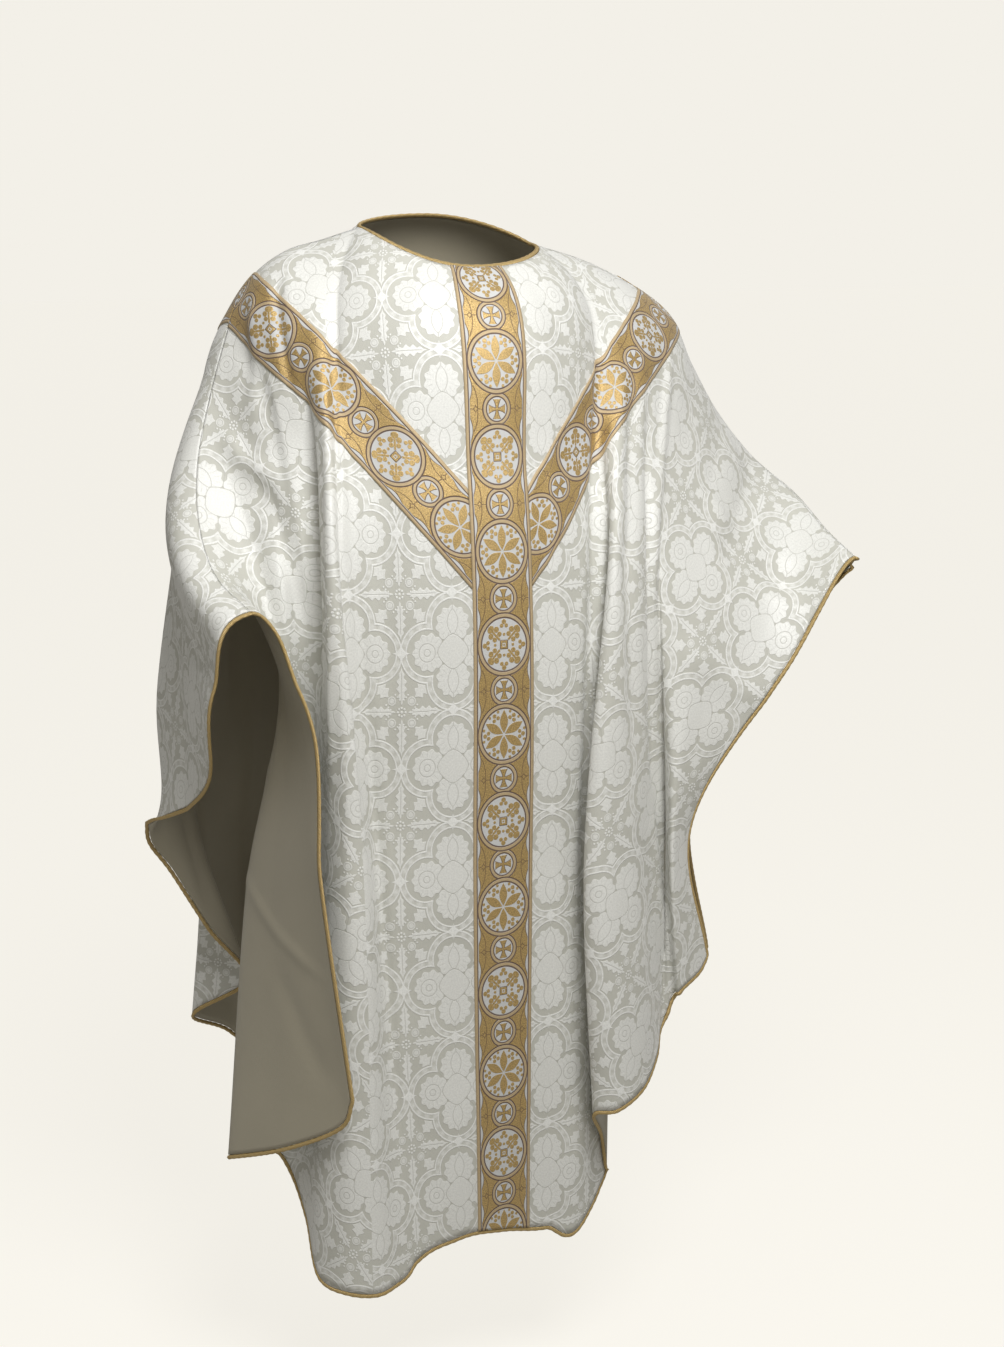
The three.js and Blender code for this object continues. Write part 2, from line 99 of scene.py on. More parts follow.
BACK_ROWS = [
    # at, reach, slope, chest, waist, hem
    (-2, 200, -0.05, (-364, -200, -501), (-358, -110, -642), (-401, 57, -740)),
    (-1.88, 210, -0.08, (-364, -90, -475), (-372, -20, -594), (-393, 82, -773)),
    (-1.74, 210, -0.10, (-365, 0, -428), (-380, 60, -599), (-365, 95, -817)),
    (-1.58, 200, -0.15, (-348, 80, -403), (-361, 115, -670), (-314, 115, -912)),
    (-1.42, 210, -0.20, (-305, 125, -373), (-326, 150, -739), (-257, 140, -1007)),
    (-1.28, 280, -0.26, (-262, 155, -330), (-299, 195, -828), (-326, 190, -1068)),
    (-1.15, 310, -0.33, (-215, 166, -300), (-235, 212, -720), (-262, 238, -1120)),
    (-1, 330, -0.40, (-160, 168, -290), (-178, 188, -740), (-190, 198, -1190)),
    (-0.55, 270, -0.42, (-85, 168, -290), (-95, 215, -770), (-105, 242, -1270)),
    (0, 240, -0.42, (0, 163, -290), (0, 205, -780), (0, 228, -1295)),
    (0.55, 270, -0.42, (85, 168, -290), (95, 215, -770), (105, 242, -1270)),
    (1, 330, -0.40, (162, 168, -300), (178, 188, -740), (190, 198, -1190)),
    (1.14, 310, -0.34, (228, 166, -320), (238, 213, -720), (240, 236, -1120)),
    (1.27, 280, -0.27, (290, 152, -370), (290, 172, -700), (280, 178, -1040)),
    (1.42, 210, -0.21, (340, 135, -430), (389, 190, -903), (379, 195, -1148)),
    (1.62, 180, -0.16, (385, 100, -500), (395, 130, -885), (412, 150, -1111)),
    (1.83, 120, -0.10, (442, 0, -568), (390, 70, -836), (427, 105, -1059)),
    (2, 60, -0.08, (429, -110, -537), (379, 20, -812), (433, 80, -1024)),
]

# Soft creases of the cloth, drawn on the flat panel: how wide each is, how far it stands out of the cloth (a
# trough where negative), and the places (across, depth) that it runs through
FRONT_CREASES = [
    # wearer's right: the deep fold beside the sleeve, the strip of cloth next to it, and the sleeve itself
    (12, -11, (-235, 50), (-240, 150), (-252, 240), (-280, 430), (-300, 570)),
    (9, 5.0, (-198, 20), (-205, 160), (-214, 300), (-241, 520), (-250, 720)),
    (8, -8, (-182, -20), (-197, 120), (-203, 260), (-206, 420), (-196, 560), (-185, 760)),
    (15, 8, (-405, 105), (-362, 172), (-330, 211), (-285, 250)),
    (16, -10, (-326, 205), (-307, 290), (-304, 350), (-309, 460)),
    (8, -5.5, (-266, -40), (-262, 40), (-254, 160)),
    (12, 4.5, (-300, -30), (-302, 60), (-320, 165)),
    (15, -4.0, (-345, 10), (-362, 90), (-400, 190)),
    (7, -2.6, (-375, 570), (-382, 790)),
    (9, -2.2, (-380, 760), (-500, 790), (-620, 800)),
    (24, 3.0, (-450, 450), (-590, 640)),
    (20, 2.4, (-500, 820), (-640, 960)),
    # wearer's left: the front's edge, the wide trough beside it, and the sleeve
    (9, -9, (192, -20), (182, 90), (171, 200), (148, 316), (125, 480), (117, 626), (115, 800), (119, 980)),
    (15, -9, (233, 20), (229, 200), (228, 366), (270, 520), (307, 680)),
    (8, -8, (262, 60), (266, 200), (285, 359), (315, 490), (348, 617), (390, 750), (430, 900)),
    (8, 4.5, (326, 0), (300, 150), (293, 300), (310, 470)),
    (22, -9, (400, 275), (470, 320), (570, 355)),
    (20, 4.5, (350, 445), (430, 480), (530, 510)),
    (16, 4.5, (365, 205), (450, 300), (560, 415)),
    (14, -4.0, (415, 30), (480, 100), (545, 190)),
    (18, 4.0, (345, 630), (390, 780), (425, 900)),
    # the middle
    (16, 1.9, (-122, 320), (-128, 600), (-122, 850), (-121, 1220)),
    (19, -1.9, (-86, 380), (-82, 760), (-68, 1200)),
    (16, 1.9, (84, 320), (80, 600), (79, 820), (92, 1200)),
    (26, 2.4, (-60, 1010), (-72, 1290)),
    (22, -2.0, (40, 1080), (52, 1290)),
    (13, -1.8, (62, -30), (84, 60), (130, 150)),
    (13, 1.8, (-74, -30), (-92, 60), (-140, 150)),
]
BACK_CREASES = [
    (20, 2.6, (-60, 270), (-74, 580), (-92, 920)),
    (17, -2.4, (-130, 230), (-148, 500), (-162, 780)),
    (24, -2.2, (35, 420), (32, 800), (26, 1200)),
    (18, 2.4, (105, 250), (118, 640), (132, 1030)),
    (26, 3.0, (-30, 980), (-48, 1320)),
    (13, -5.5, (176, 120), (190, 420), (214, 900)),
    (15, 5.0, (236, 120), (262, 420), (302, 740)),
    (14, -6.0, (300, 110), (334, 360), (386, 600)),
    (20, 5.0, (400, 200), (456, 480), (506, 780)),
    (12, 4.5, (-226, 120), (-248, 420), (-272, 680)),
    (14, -6.0, (-280, 110), (-316, 380), (-356, 640)),
    (18, 5.0, (-370, 190), (-424, 420), (-480, 660)),
    (20, -4.0, (-470, 320), (-540, 520), (-600, 720)),
    (20, -3.4, (520, 400), (560, 640), (596, 880)),
]

# On the sleeves' side of the folds the weave is turned. For each side: the station at which that begins, the
# turn in degrees, and the flat place (across, depth) of a motif's centre there
FRONT_TURNS = {-1: (-1.03, 27, (-375, 247)), 1: (1.02, -27, (418, 538))}

PANELS = {
    "front": {"facing": -1, "collar": (-120, -11), "rows": FRONT_ROWS, "creases": FRONT_CREASES,
              "turns": FRONT_TURNS, "columns": 316, "levels": 150, "flat": (1.29, 1.42), "area": 1.27},
    "back": {"facing": 1, "collar": (92, 50), "rows": BACK_ROWS, "creases": BACK_CREASES,
             "turns": {}, "columns": 270, "levels": 130, "flat": (1.45, 1.39), "area": 1.31},
}

# Motifs of the two weaves, in millimetres on the flat cloth
DAMASK_REPEAT = (130, 146.3)
DAMASK_START = (65, 467)  # the flat place of a motif's centre
GALLOON_REPEAT = 115.5
GALLOON_START = 116  # the depth of a motif's centre on the band
GALLOON_STRETCH = 1.17  # the motifs are this much longer along the galloon than across it
GALLOON_MAP = 100  # millimetres across the galloon in one unit of its map
ARM_START = 331  # the depth at which the arms' middle lines leave the band's edges
ARM_LEAN = math.radians(40)
ARM_SHIFT = 20  # how far up an arm its first motif is moved
LANES, BAND_POINTS, ARM_POINTS = 29, 301, 131  # lines of points along a galloon, and points on each

# The cords of the braids, in millimetres
CORD_SIDES, CORD_STRANDS = 14, 3
CORD_STEP = 2.4  # from one ring of points to the next
CORD_SWELL = 0.09  # share of its radius by which a strand stands out
CORD_HALF = 1 / 2.2  # the ring's half width over the braid's width, which leaves room for the strands
CORD_SINK = -1.25  # the cord's middle, below the damask's face
EDGE_CORD = {"height": 4.6, "pitch": 11}
NECK_CORD = {"height": 5.0, "pitch": 13}

# The stage, in metres
FLOOR_HALF = 30
FLOOR_SHADE = 0.18  # share of the floor's colour that takes light and shadow
FLOOR_GLOW = 0.925  # its own light where the camera sees it
KEY_PLACE, KEY_AIM, KEY_SIZE = (-0.1, -1.8, 1.5), (0, -0.1, -0.45), 1.1
RIM_FROM, RIM_LIGHT, RIM_SPREAD = (0.7, 0.9, 0.8), 0.3, math.radians(60)
CAMERA_TARGET, CAMERA_LENS, CAMERA_SENSOR, CAMERA_CLIP = (0, -0.216, -0.506), 55.59, 36, (0.05, 200)

# ---------------------------------------------------------------- what a user may change


def length_property(name, description, default):
    """A length in metres, shown to a tenth of a millimetre"""
    return bpy.props.FloatProperty(
        name=name, description=description, default=default, min=0, unit="LENGTH", precision=4)


def color_property(name, description, default):
    """A colour that a user may pick"""
    return bpy.props.FloatVectorProperty(
        name=name, description=description, default=default, subtype="COLOR", size=3, min=0, max=1)


class ChasubleCloth(bpy.types.PropertyGroup):
    """Thicknesses, widths and colours of the chasuble's cloth and trims"""

    damask: length_property("Damask", "Thickness of the damask", 1.2 * MM)
    lining: length_property("Lining", "Thickness of the lining", 1.0 * MM)
    galloon: length_property("Galloon", "Thickness of the orphrey's galloon", 1.0 * MM)
    band: length_property("Orphrey width", "Width of the orphrey's galloon", 78 * MM)
    edge: length_property("Edge braid", "Width of the braid round the hem and sides", 6 * MM)
    neck: length_property("Neck braid", "Width of the braid round the neckline", 8 * MM)
    satin: color_property("Satin", "Colour of the damask's raised motifs", (0.83, 0.83, 0.80))
    ground: color_property("Ground", "Colour of the damask between its motifs", (0.52, 0.515, 0.46))
    lining_color: color_property("Lining colour", "Colour of the lining", (0.365, 0.33, 0.245))
    ivory: color_property("Ivory", "Ground colour of the galloon", (0.55, 0.55, 0.54))
    gold: color_property("Gold", "Gold thread of the galloon's motifs", (0.44, 0.295, 0.10))
    beige: color_property("Ring", "Beige gold of the galloon's rings and borders", (0.50, 0.37, 0.20))
    outline: color_property("Outline", "Brown outlines of the galloon", (0.10, 0.055, 0.035))
    braid: color_property("Braid", "Gold of the braids", (0.60, 0.43, 0.18))


class ChasubleStage(bpy.types.PropertyGroup):
    """Floor, light and camera round the chasuble"""

    floor_height: bpy.props.FloatProperty(
        name="Floor", description="Height of the floor, measured up from the neckline", default=-1.52,
        unit="LENGTH")
    floor: color_property("Floor colour", "Colour of the floor", (0.896, 0.871, 0.807))
    sky: color_property("Backdrop", "Colour of the backdrop and its soft light", (0.896, 0.871, 0.807))
    soft_light: bpy.props.FloatProperty(
        name="Soft light", description="Strength of the light from all round", default=0.3, min=0)
    key_light: bpy.props.FloatProperty(
        name="Key light", description="Watts of the lamp above the front", default=70, min=0)
    turn: bpy.props.FloatProperty(
        name="Camera turn", description="How far the camera stands round to the wearer's right",
        default=math.radians(20), subtype="ANGLE")
    tilt: bpy.props.FloatProperty(
        name="Camera height", description="How far the camera looks down", default=math.radians(13),
        subtype="ANGLE")
    distance: length_property("Camera distance", "From the camera to the chasuble", 2.6)


# ---------------------------------------------------------------- curves and grids


def unit(v):
    """Each vector over its own length"""
    return v / np.maximum(np.linalg.norm(v, axis=-1, keepdims=True), 1e-12)


def ease(x):
    """3x^2 - 2x^3 between 0 and 1"""
    x = np.clip(x, 0, 1)
    return x * x * (3 - 2 * x)


def hermite(p0, p1, m0, m1, s):
    """The cubic from p0 to p1 that leaves with slope m0 and arrives with slope m1, at s from 0 to 1"""
    return p0 + s * s * (3 - 2 * s) * (p1 - p0) + s * (1 - s) ** 2 * m0 + s * s * (s - 1) * m1


def spline(places, values, x):
    """A cubic through each value, whose slope there is its two chords' mean, weighed by the gaps beside it"""
    places, values = np.asarray(places, float), np.asarray(values, float)
    gap = np.diff(places)
    chord = np.diff(values, axis=0) / gap[:, None]
    share = (gap[:-1] / (gap[:-1] + gap[1:]))[:, None]
    slope = np.concatenate([chord[:1], chord[:-1] + share * np.diff(chord, axis=0), chord[-1:]])
    i = np.clip(np.searchsorted(places, x, side="right") - 1, 0, len(gap) - 1)
    s = ((x - places[i]) / gap[i])[:, None]
    h = gap[i][:, None]
    return hermite(values[i], values[i + 1], slope[i] * h, slope[i + 1] * h, s)


def lengths(points):
    """The running length along a line of points"""
    return np.concatenate([[0], np.cumsum(np.linalg.norm(np.diff(points, axis=0), axis=1))])


def top_line(panel, c):
    """Half an oval round the neck for stations up to 1, x = a sin t, y = b cos t, and the seam beyond"""
    out = np.empty((len(c), 3))
    middle_y, middle_z = panel["collar"]
    for side, seam in SEAMS.items():
        mine = (c < 0) == (side < 0)
        along = np.abs(c[mine])
        run = lengths(np.array(seam, float))
        line = spline(run / run[-1], seam, np.clip(along - 1, 0, 1))
        x, y, z = seam[0]
        turn = np.clip(along, 0, 1) * np.pi / 2
        forward = np.maximum(np.cos(turn), 0)
        ring = np.stack([x * np.sin(turn), y + (middle_y - y) * forward,
                         z + (middle_z - z) * forward ** COLLAR_CURVE], 1)
        out[mine] = np.where(along[:, None] > 1, line, ring)
    return out


def seam_direction(c):
    """The seam's own direction away from the neck, from two places on it a short step apart"""
    step = 2e-3
    side = np.where(c < 0, -1.0, 1.0)
    along = np.clip(np.abs(c), 1 + 2 * step, 2)
    panel = PANELS["front"]
    return unit(top_line(panel, side * np.minimum(along + step, 2)) - top_line(panel, side * (along - step)))


def leaving(panel, c):
    """The level way in which cloth leaves its top edge: square to the seam, turned outward near the neck"""
    along = np.abs(c)[:, None]
    level = unit(seam_direction(c)[:, :2])
    side = np.where(c < 0, -1.0, 1.0)[:, None]
    square = np.stack([level[:, 1], -level[:, 0]], 1) * -panel["facing"] * side
    ahead = np.array([[0.0, panel["facing"]]])
    near = np.clip(along, 0, 1)
    way = unit(ahead * (1 - near) + square * near)
    turn = FAN * ease(np.where(along < 1, along, (FAN_ENDS - along) / (FAN_ENDS - 1)))
    return way * np.cos(turn) + level * np.sin(turn)


def drape(panel, c, t):
    """The cloth at stations c and shares t of the way down: on each line of the drape a cubic through its
    top, chest, waist and hem, which leaves the top at the row's slope"""
    rows = panel["rows"]
    values = spline([r[0] for r in rows], [(r[1], r[2], *r[3], *r[4], *r[5]) for r in rows], c)
    way = leaving(panel, c)
    top = top_line(panel, c)
    parted = np.where(np.abs(c)[:, None] < 1, np.array([[0.0, panel["facing"]]]), way)
    top[:, :2] += SEWN_GAP / 2 * parted
    points = np.concatenate([top[:, None], values[:, 2:].reshape(-1, 3, 3)], 1)
    chord = np.linalg.norm(np.diff(points, axis=1), axis=2)
    knots = np.concatenate([np.zeros((len(c), 1)), np.cumsum(chord, axis=1)], 1)
    ways = np.diff(points, axis=1) / chord[:, :, None]
    slopes = np.empty_like(points)
    slopes[:, 0] = np.concatenate([way, values[:, 1:2]], 1) * values[:, :1] / chord[:, :1]
    for k in (1, 2):
        share = chord[:, k - 1:k] / (chord[:, k - 1:k] + chord[:, k:k + 1])
        slopes[:, k] = ways[:, k - 1] * (1 - share) + ways[:, k] * share
    slopes[:, 3] = ways[:, 2]
    run = t[None, :] * knots[:, -1:]
    k = np.clip((run[:, :, None] >= knots[:, None, 1:3]).sum(2), 0, 2)
    row = np.arange(len(c))[:, None]
    h = chord[row, k]
    s = ((run - knots[row, k]) / h)[:, :, None]
    h = h[:, :, None]
    grid = hermite(points[row, k], points[row, k + 1], slopes[row, k] * h, slopes[row, k + 1] * h, s)
    return grid, knots[:, 2] / knots[:, 3], points[:, 2, 2]


def stations(panel):
    """Stations from wrist to wrist, evenly spaced over the cloth, with the neck points and centre in them"""
    fine = np.linspace(-2, 2, 2001)
    grid = drape(panel, fine, np.linspace(0, 1, 9))[0]
    step = np.linalg.norm(np.diff(grid, axis=0), axis=2)
    run = np.concatenate([[0], np.cumsum(step.max(1) + step.mean(1))])
    marks = np.interp([-2, -1, 0, 1, 2], fine, run)
    counts = np.round(np.diff(marks) / run[-1] * panel["columns"]).astype(int)
    spread = [np.linspace(a, b, n, endpoint=False) for a, b, n in zip(marks, marks[1:], counts)]
    c = np.interp(np.concatenate([*spread, marks[-1:]]), run, fine)
    for mark in (-1, 0, 1):
        c[np.argmin(np.abs(c - mark))] = mark
    return c


def normals(grid, facing):
    """Square to the grid's own two directions"""
    across, down = np.gradient(grid, axis=0), np.gradient(grid, axis=1)
    return unit(np.cross(across, down)) * facing


def seam_normals(c):
    """Square to both panels' cloth along the seam, so that their edges stay parallel there"""
    side = np.where(c < 0, -1.0, 1.0)
    beyond = side * np.maximum(np.abs(c), 1)
    along = seam_direction(beyond) * side[:, None]
    total = 0
    for panel in PANELS.values():
        rows = panel["rows"]
        slope = spline([r[0] for r in rows], [(r[2],) for r in rows], beyond)
        way = np.concatenate([leaving(panel, beyond), slope], 1)
        total = total + unit(np.cross(along, way)) * panel["facing"]
    return unit(total)


def relief(creases, across, depth, top):
    """How far the cloth stands out at each flat place, in millimetres: a slow swell, which is a product of
    two sine waves, and for each crease its height times exp(-(distance from its line / width)^2), which
    dies away at the crease's ends. All of it dies away towards the top edge."""
    swell, end_share, top_margin = 1.3, 0.3, 50
    height = swell * np.sin(across / 61 + depth / 190) * np.sin(depth / 143 - across / 230 + 1.1)
    for width, stands, *places in creases:
        places = np.array(places, float)
        run = lengths(places)
        near, share = np.full(across.shape, np.inf), np.zeros(across.shape)
        for (x, y), (dx, dy), start, long in zip(places, np.diff(places, axis=0), run, np.diff(run)):
            s = np.clip(((across - x) * dx + (depth - y) * dy) / long ** 2, 0, 1)
            off = np.hypot(across - x - s * dx, depth - y - s * dy)
            share = np.where(off < near, (start + s * long) / run[-1], share)
            near = np.minimum(near, off)
        ends = ease(share / end_share) * ease((1 - share) / end_share)
        height += stands * ends * np.exp(-(near / width) ** 2)
    return height * ease((depth - top) / top_margin)


def lay_flat(grid, flat, centre):
    """The flat pattern of a draped grid, with the least stretch. Each triangle keeps its own shape and takes
    the turn that fits its corners best, turn = atan2(s10 - s01, s00 + s11) of s = sum w (flat edge)(own
    edge), then all corners move to where the triangles agree, and so on. The centre column stays. It is
    worked out on every fifth column and eighth row, and a spline gives the places between."""
    rounds, hold, least_weight = 150, 1e4, 0.05
    n, m = grid.shape[:2]
    columns = np.unique([*range(0, n, 5), centre, n - 1])
    rows = np.unique([*range(0, m, 8), m - 1])
    few = np.ix_(columns, rows)
    number = np.arange(len(columns) * len(rows)).reshape(len(columns), len(rows))
    a, b, c, d = number[:-1, :-1], number[:-1, 1:], number[1:, 1:], number[1:, :-1]
    triangles = np.concatenate([np.stack(corners, -1).reshape(-1, 3) for corners in ((a, b, c), (a, c, d))])
    corner = grid[few].reshape(-1, 3)[triangles]
    first, second = corner[:, 1] - corner[:, 0], corner[:, 2] - corner[:, 0]
    long = np.linalg.norm(first, axis=1)
    own = np.zeros((len(triangles), 3, 2))
    own[:, 1, 0] = long
    own[:, 2, 0] = (first * second).sum(1) / long
    own[:, 2, 1] = -np.linalg.norm(np.cross(first, second), axis=1) / long
    start, end = triangles[:, [1, 2, 0]], triangles[:, [2, 0, 1]]
    edge = own[:, [1, 2, 0]] - own[:, [2, 0, 1]]
    one, two = own[:, [1, 2, 0]] - own, own[:, [2, 0, 1]] - own
    area = np.abs(one[..., 0] * two[..., 1] - one[..., 1] * two[..., 0])
    weight = np.maximum((one * two).sum(2) / area, least_weight)
    pull = np.zeros((number.size, number.size))
    for i, j in ((start, end), (end, start)):
        np.add.at(pull, (i, j), -weight)
        np.add.at(pull, (i, i), weight)
    held = number[np.searchsorted(columns, centre)]
    pull[held, held] += hold
    inverse = np.linalg.inv(pull)
    place = flat[few].reshape(-1, 2)
    kept = place[held]
    for _ in range(rounds):
        fit = np.einsum("tk,tki,tkj->tij", weight, place[start] - place[end], edge)
        turn = np.arctan2(fit[:, 1, 0] - fit[:, 0, 1], fit[:, 0, 0] + fit[:, 1, 1])[:, None]
        turned = np.stack([np.cos(turn) * edge[..., 0] - np.sin(turn) * edge[..., 1],
                           np.sin(turn) * edge[..., 0] + np.cos(turn) * edge[..., 1]], -1)
        wanted = np.zeros_like(place)
        np.add.at(wanted, start, weight[..., None] * turned)
        np.add.at(wanted, end, -weight[..., None] * turned)
        wanted[held] += hold * kept
        place = inverse @ wanted
    place = spline(columns, place.reshape(len(columns), -1), np.arange(n)).reshape(n, len(rows), 2)
    place = spline(rows, place.transpose(1, 0, 2).reshape(len(rows), -1), np.arange(m)).reshape(m, n, 2)
    return place[..., 0].T, place[..., 1].T


@functools.cache
def hang(name):
    """One panel's cloth as grids over (station, level): its points and outward normals, and each point's
    place on the flat panel. Near the seam the normals turn into the ones that both panels share."""
    neck_share, neck_blend, seam_margin = 0.7, 0.3, 45
    panel = PANELS[name]
    facing = panel["facing"]
    c = stations(panel)
    t = np.linspace(0, 1, panel["levels"] + 1) ** LEVEL_GROWTH
    grid, waist_share, waist_z = drape(panel, c, t)
    centre = np.argmin(np.abs(c))
    down = np.cumsum(np.linalg.norm(np.diff(grid, axis=1), axis=2), axis=1)
    down = np.concatenate([np.zeros((len(c), 1)), down], 1)
    at_waist = np.array([np.interp(share, t, line) for share, line in zip(waist_share, down)])
    aside = np.cumsum(np.linalg.norm(np.diff(grid, axis=0), axis=2), axis=0)
    aside = np.concatenate([np.zeros((1, len(t))), aside])
    guess = np.stack([aside - aside[centre], down - at_waist[:, None] - waist_z[:, None]], -1)
    across, depth = lay_flat(grid, guess, centre)
    top = depth[:, :1]
    grid = grid + normals(grid, facing) * relief(panel["creases"], across, depth, top)[:, :, None]
    own = normals(grid, facing)
    near_seam = ease((np.abs(c) - neck_share) / neck_blend)[:, None] * ease(1 - (depth - top) / seam_margin)
    near_seam[np.abs(c) >= 1, 0] = 1
    normal = unit(own + (seam_normals(c)[:, None] - own) * near_seam[:, :, None])
    return {"name": name, "panel": panel, "c": c, "grid": grid, "normal": normal,
            "across": across, "depth": depth}


def lifted(cloth, height):
    """The cloth's grid moved out by a height, in metres"""
    return cloth["grid"] * MM + cloth["normal"] * height


# ---------------------------------------------------------------- meshes


def make_mesh(name, points, faces, uv, flat_from=None):
    """A mesh from arrays of points (n, 3), quads (m, 4) and each corner's uv (m, 4, 2). Faces from
    flat_from on are left flat, so that the edge between them and the smooth ones stays sharp."""
    mesh = bpy.data.meshes.new(name)
    mesh.from_pydata(points.tolist(), [], faces.tolist())
    smooth = np.ones(len(faces), bool)
    smooth[len(faces) if flat_from is None else flat_from:] = False
    mesh.polygons.foreach_set("use_smooth", smooth)
    mesh.uv_layers.new(name="Flat").data.foreach_set("uv", uv.astype(np.float32).ravel())
    mesh.update()
    obj = bpy.data.objects.new(name, mesh)
    bpy.context.scene.collection.objects.link(obj)
    return obj


def corners_of(values):
    """The four corners of each face of a grid, in the order in which a mesh takes them"""
    return np.stack([values[:-1, :-1], values[:-1, 1:], values[1:, 1:], values[1:, :-1]], 2)


def wall(name, outer, inner, uv, facing, corner_uv=None):
    """A closed wall between two grids (n, m, 3): the outer faces, the inner ones reversed, and the rim. uv is
    (n, m, 2). Where the weave turns, corner_uv gives the faces' own corners (n-1, m-1, 4, 2) instead."""
    n, m = outer.shape[:2]
    number = np.arange(n * m).reshape(n, m)
    quads = corners_of(number).reshape(-1, 4)
    corner_uv = (corners_of(uv) if corner_uv is None else corner_uv).reshape(-1, 4, 2)
    rim = np.concatenate([number[:, 0][::-1], number[0, 1:], number[1:, -1], number[-1, 1:-1][::-1]])
    following = np.roll(rim, -1)
    side = np.stack([rim + n * m, following + n * m, following, rim], 1)
    side_uv = uv.reshape(-1, 2)[side % (n * m)]
    if facing > 0:
        quads, corner_uv, side, side_uv = (v[:, ::-1] for v in (quads, corner_uv, side, side_uv))
    faces = np.concatenate([quads, quads[:, ::-1] + n * m, side])
    all_uv = np.concatenate([corner_uv, corner_uv[:, ::-1], side_uv])
    points = np.concatenate([outer.reshape(-1, 3), inner.reshape(-1, 3)])
    return make_mesh(name, points, faces, all_uv, flat_from=2 * len(quads))


def weave_place(across, depth, degrees=0, centre=DAMASK_START):
    """Where a flat place lies in the damask's repeat, in repeats. The repeat is turned about a motif's
    centre: (x cos - y sin, x sin + y cos)."""
    sin, cos = math.sin(math.radians(degrees)), math.cos(math.radians(degrees))
    x, y = across - centre[0], depth - centre[1]
    return np.stack([(x * cos - y * sin) / DAMASK_REPEAT[0], (x * sin + y * cos) / DAMASK_REPEAT[1]], -1)


def damask_uv(cloth):
    """Each face's own corners in the damask's repeat, which is turned on the sleeves"""
    across, depth, c = cloth["across"], cloth["depth"], cloth["c"]
    middle = (c[:-1] + c[1:]) / 2
    uv = corners_of(weave_place(across, depth))
    for side, (start, *turn) in cloth["panel"]["turns"].items():
        beyond = side * middle > side * start
        uv[beyond] = corners_of(weave_place(across, depth, *turn))[beyond]
    return uv


def find_places(cloth, across, depth):
    """Fractional grid numbers at which the flat place (across, depth) lies: from the nearest corner of the
    grid, Newton's steps on the grid's own bilinear faces"""
    reach, batches, steps, furthest = 25, 16, 12, 3
    u, v = cloth["across"], cloth["depth"]
    n, m = u.shape
    flat_u, flat_v = across.ravel(), depth.ravel()
    near = ((u > flat_u.min() - reach) & (u < flat_u.max() + reach)
            & (v > flat_v.min() - reach) & (v < flat_v.max() + reach))
    near_i, near_j = np.nonzero(near)
    near_u, near_v = u[near].astype(np.float32)[:, None], v[near].astype(np.float32)[:, None]
    parts = (np.array_split(flat.astype(np.float32), batches) for flat in (flat_u, flat_v))
    best = np.concatenate([np.argmin((near_u - part_u) ** 2 + (near_v - part_v) ** 2, axis=0)
                           for part_u, part_v in zip(*parts)])
    a, b = near_i[best].astype(float), near_j[best].astype(float)
    start_a, start_b = a, b
    for _ in range(steps):
        i, j = np.clip(a.astype(int), 0, n - 2), np.clip(b.astype(int), 0, m - 2)
        p, q = a - i, b - j
        errors, slopes = [], []
        for values, wanted in ((u, flat_u), (v, flat_v)):
            f00, f10, f01, f11 = values[i, j], values[i + 1, j], values[i, j + 1], values[i + 1, j + 1]
            errors.append(f00 * (1 - p) * (1 - q) + f10 * p * (1 - q)
                          + f01 * (1 - p) * q + f11 * p * q - wanted)
            slopes.append(((f10 - f00) * (1 - q) + (f11 - f01) * q, (f01 - f00) * (1 - p) + (f11 - f10) * p))
        (ua, ub), (va, vb) = slopes
        size = ua * vb - ub * va
        size = np.where(np.abs(size) < 1e-6, 1e-6, size)
        a = a - (errors[0] * vb - errors[1] * ub) / size
        b = b - (errors[1] * ua - errors[0] * va) / size
        a = np.clip(a, start_a - furthest, start_a + furthest).clip(0, n - 1)
        b = np.clip(b, start_b - furthest, start_b + furthest).clip(0, m - 1)
    return a.reshape(across.shape), b.reshape(across.shape)


def sample(values, a, b):
    """A grid's values (n, m, k) at fractional grid numbers, mixed from the four corners round them"""
    i = np.clip(a.astype(int), 0, values.shape[0] - 2)
    j = np.clip(b.astype(int), 0, values.shape[1] - 2)
    p, q = (a - i)[..., None], (b - j)[..., None]
    return ((values[i, j] * (1 - p) + values[i + 1, j] * p) * (1 - q)
            + (values[i, j + 1] * (1 - p) + values[i + 1, j + 1] * p) * q)


def galloon_uv(across, along):
    """Across the galloon in units of its map, and along it in repeats"""
    return np.stack([across / GALLOON_MAP, (along - GALLOON_START) / GALLOON_REPEAT], -1)


def strip(part, cloth, across, depth, uv, thickness, reverse=False):
    """A strip of galloon laid on the cloth: its grid's flat places are found on the cloth and moved out"""
    a, b = find_places(cloth, across, depth)
    point, normal = sample(cloth["grid"], a, b) * MM, unit(sample(cloth["normal"], a, b))
    facing = cloth["panel"]["facing"] * (-1 if reverse else 1)
    gap = SEWN_GAP * MM
    return wall(f"{cloth['name']}_orphrey_{part}_weave", point + normal * (gap + thickness),
                point + normal * gap, uv, facing)


def orphrey_band(cloth, width, thickness):
    """The upright of the orphrey: lanes of constant distance from the centre, from neckline to hem"""
    half = width / MM / 2
    lanes = np.linspace(-half, half, LANES)
    top, hem = (np.interp(lanes, cloth["across"][:, k], cloth["depth"][:, k]) for k in (0, -1))
    depth = top[:, None] + (hem - top)[:, None] * np.linspace(0, 1, BAND_POINTS)
    across = np.broadcast_to(lanes[:, None], depth.shape)
    return strip("band", cloth, across, depth, galloon_uv(across, depth), thickness)


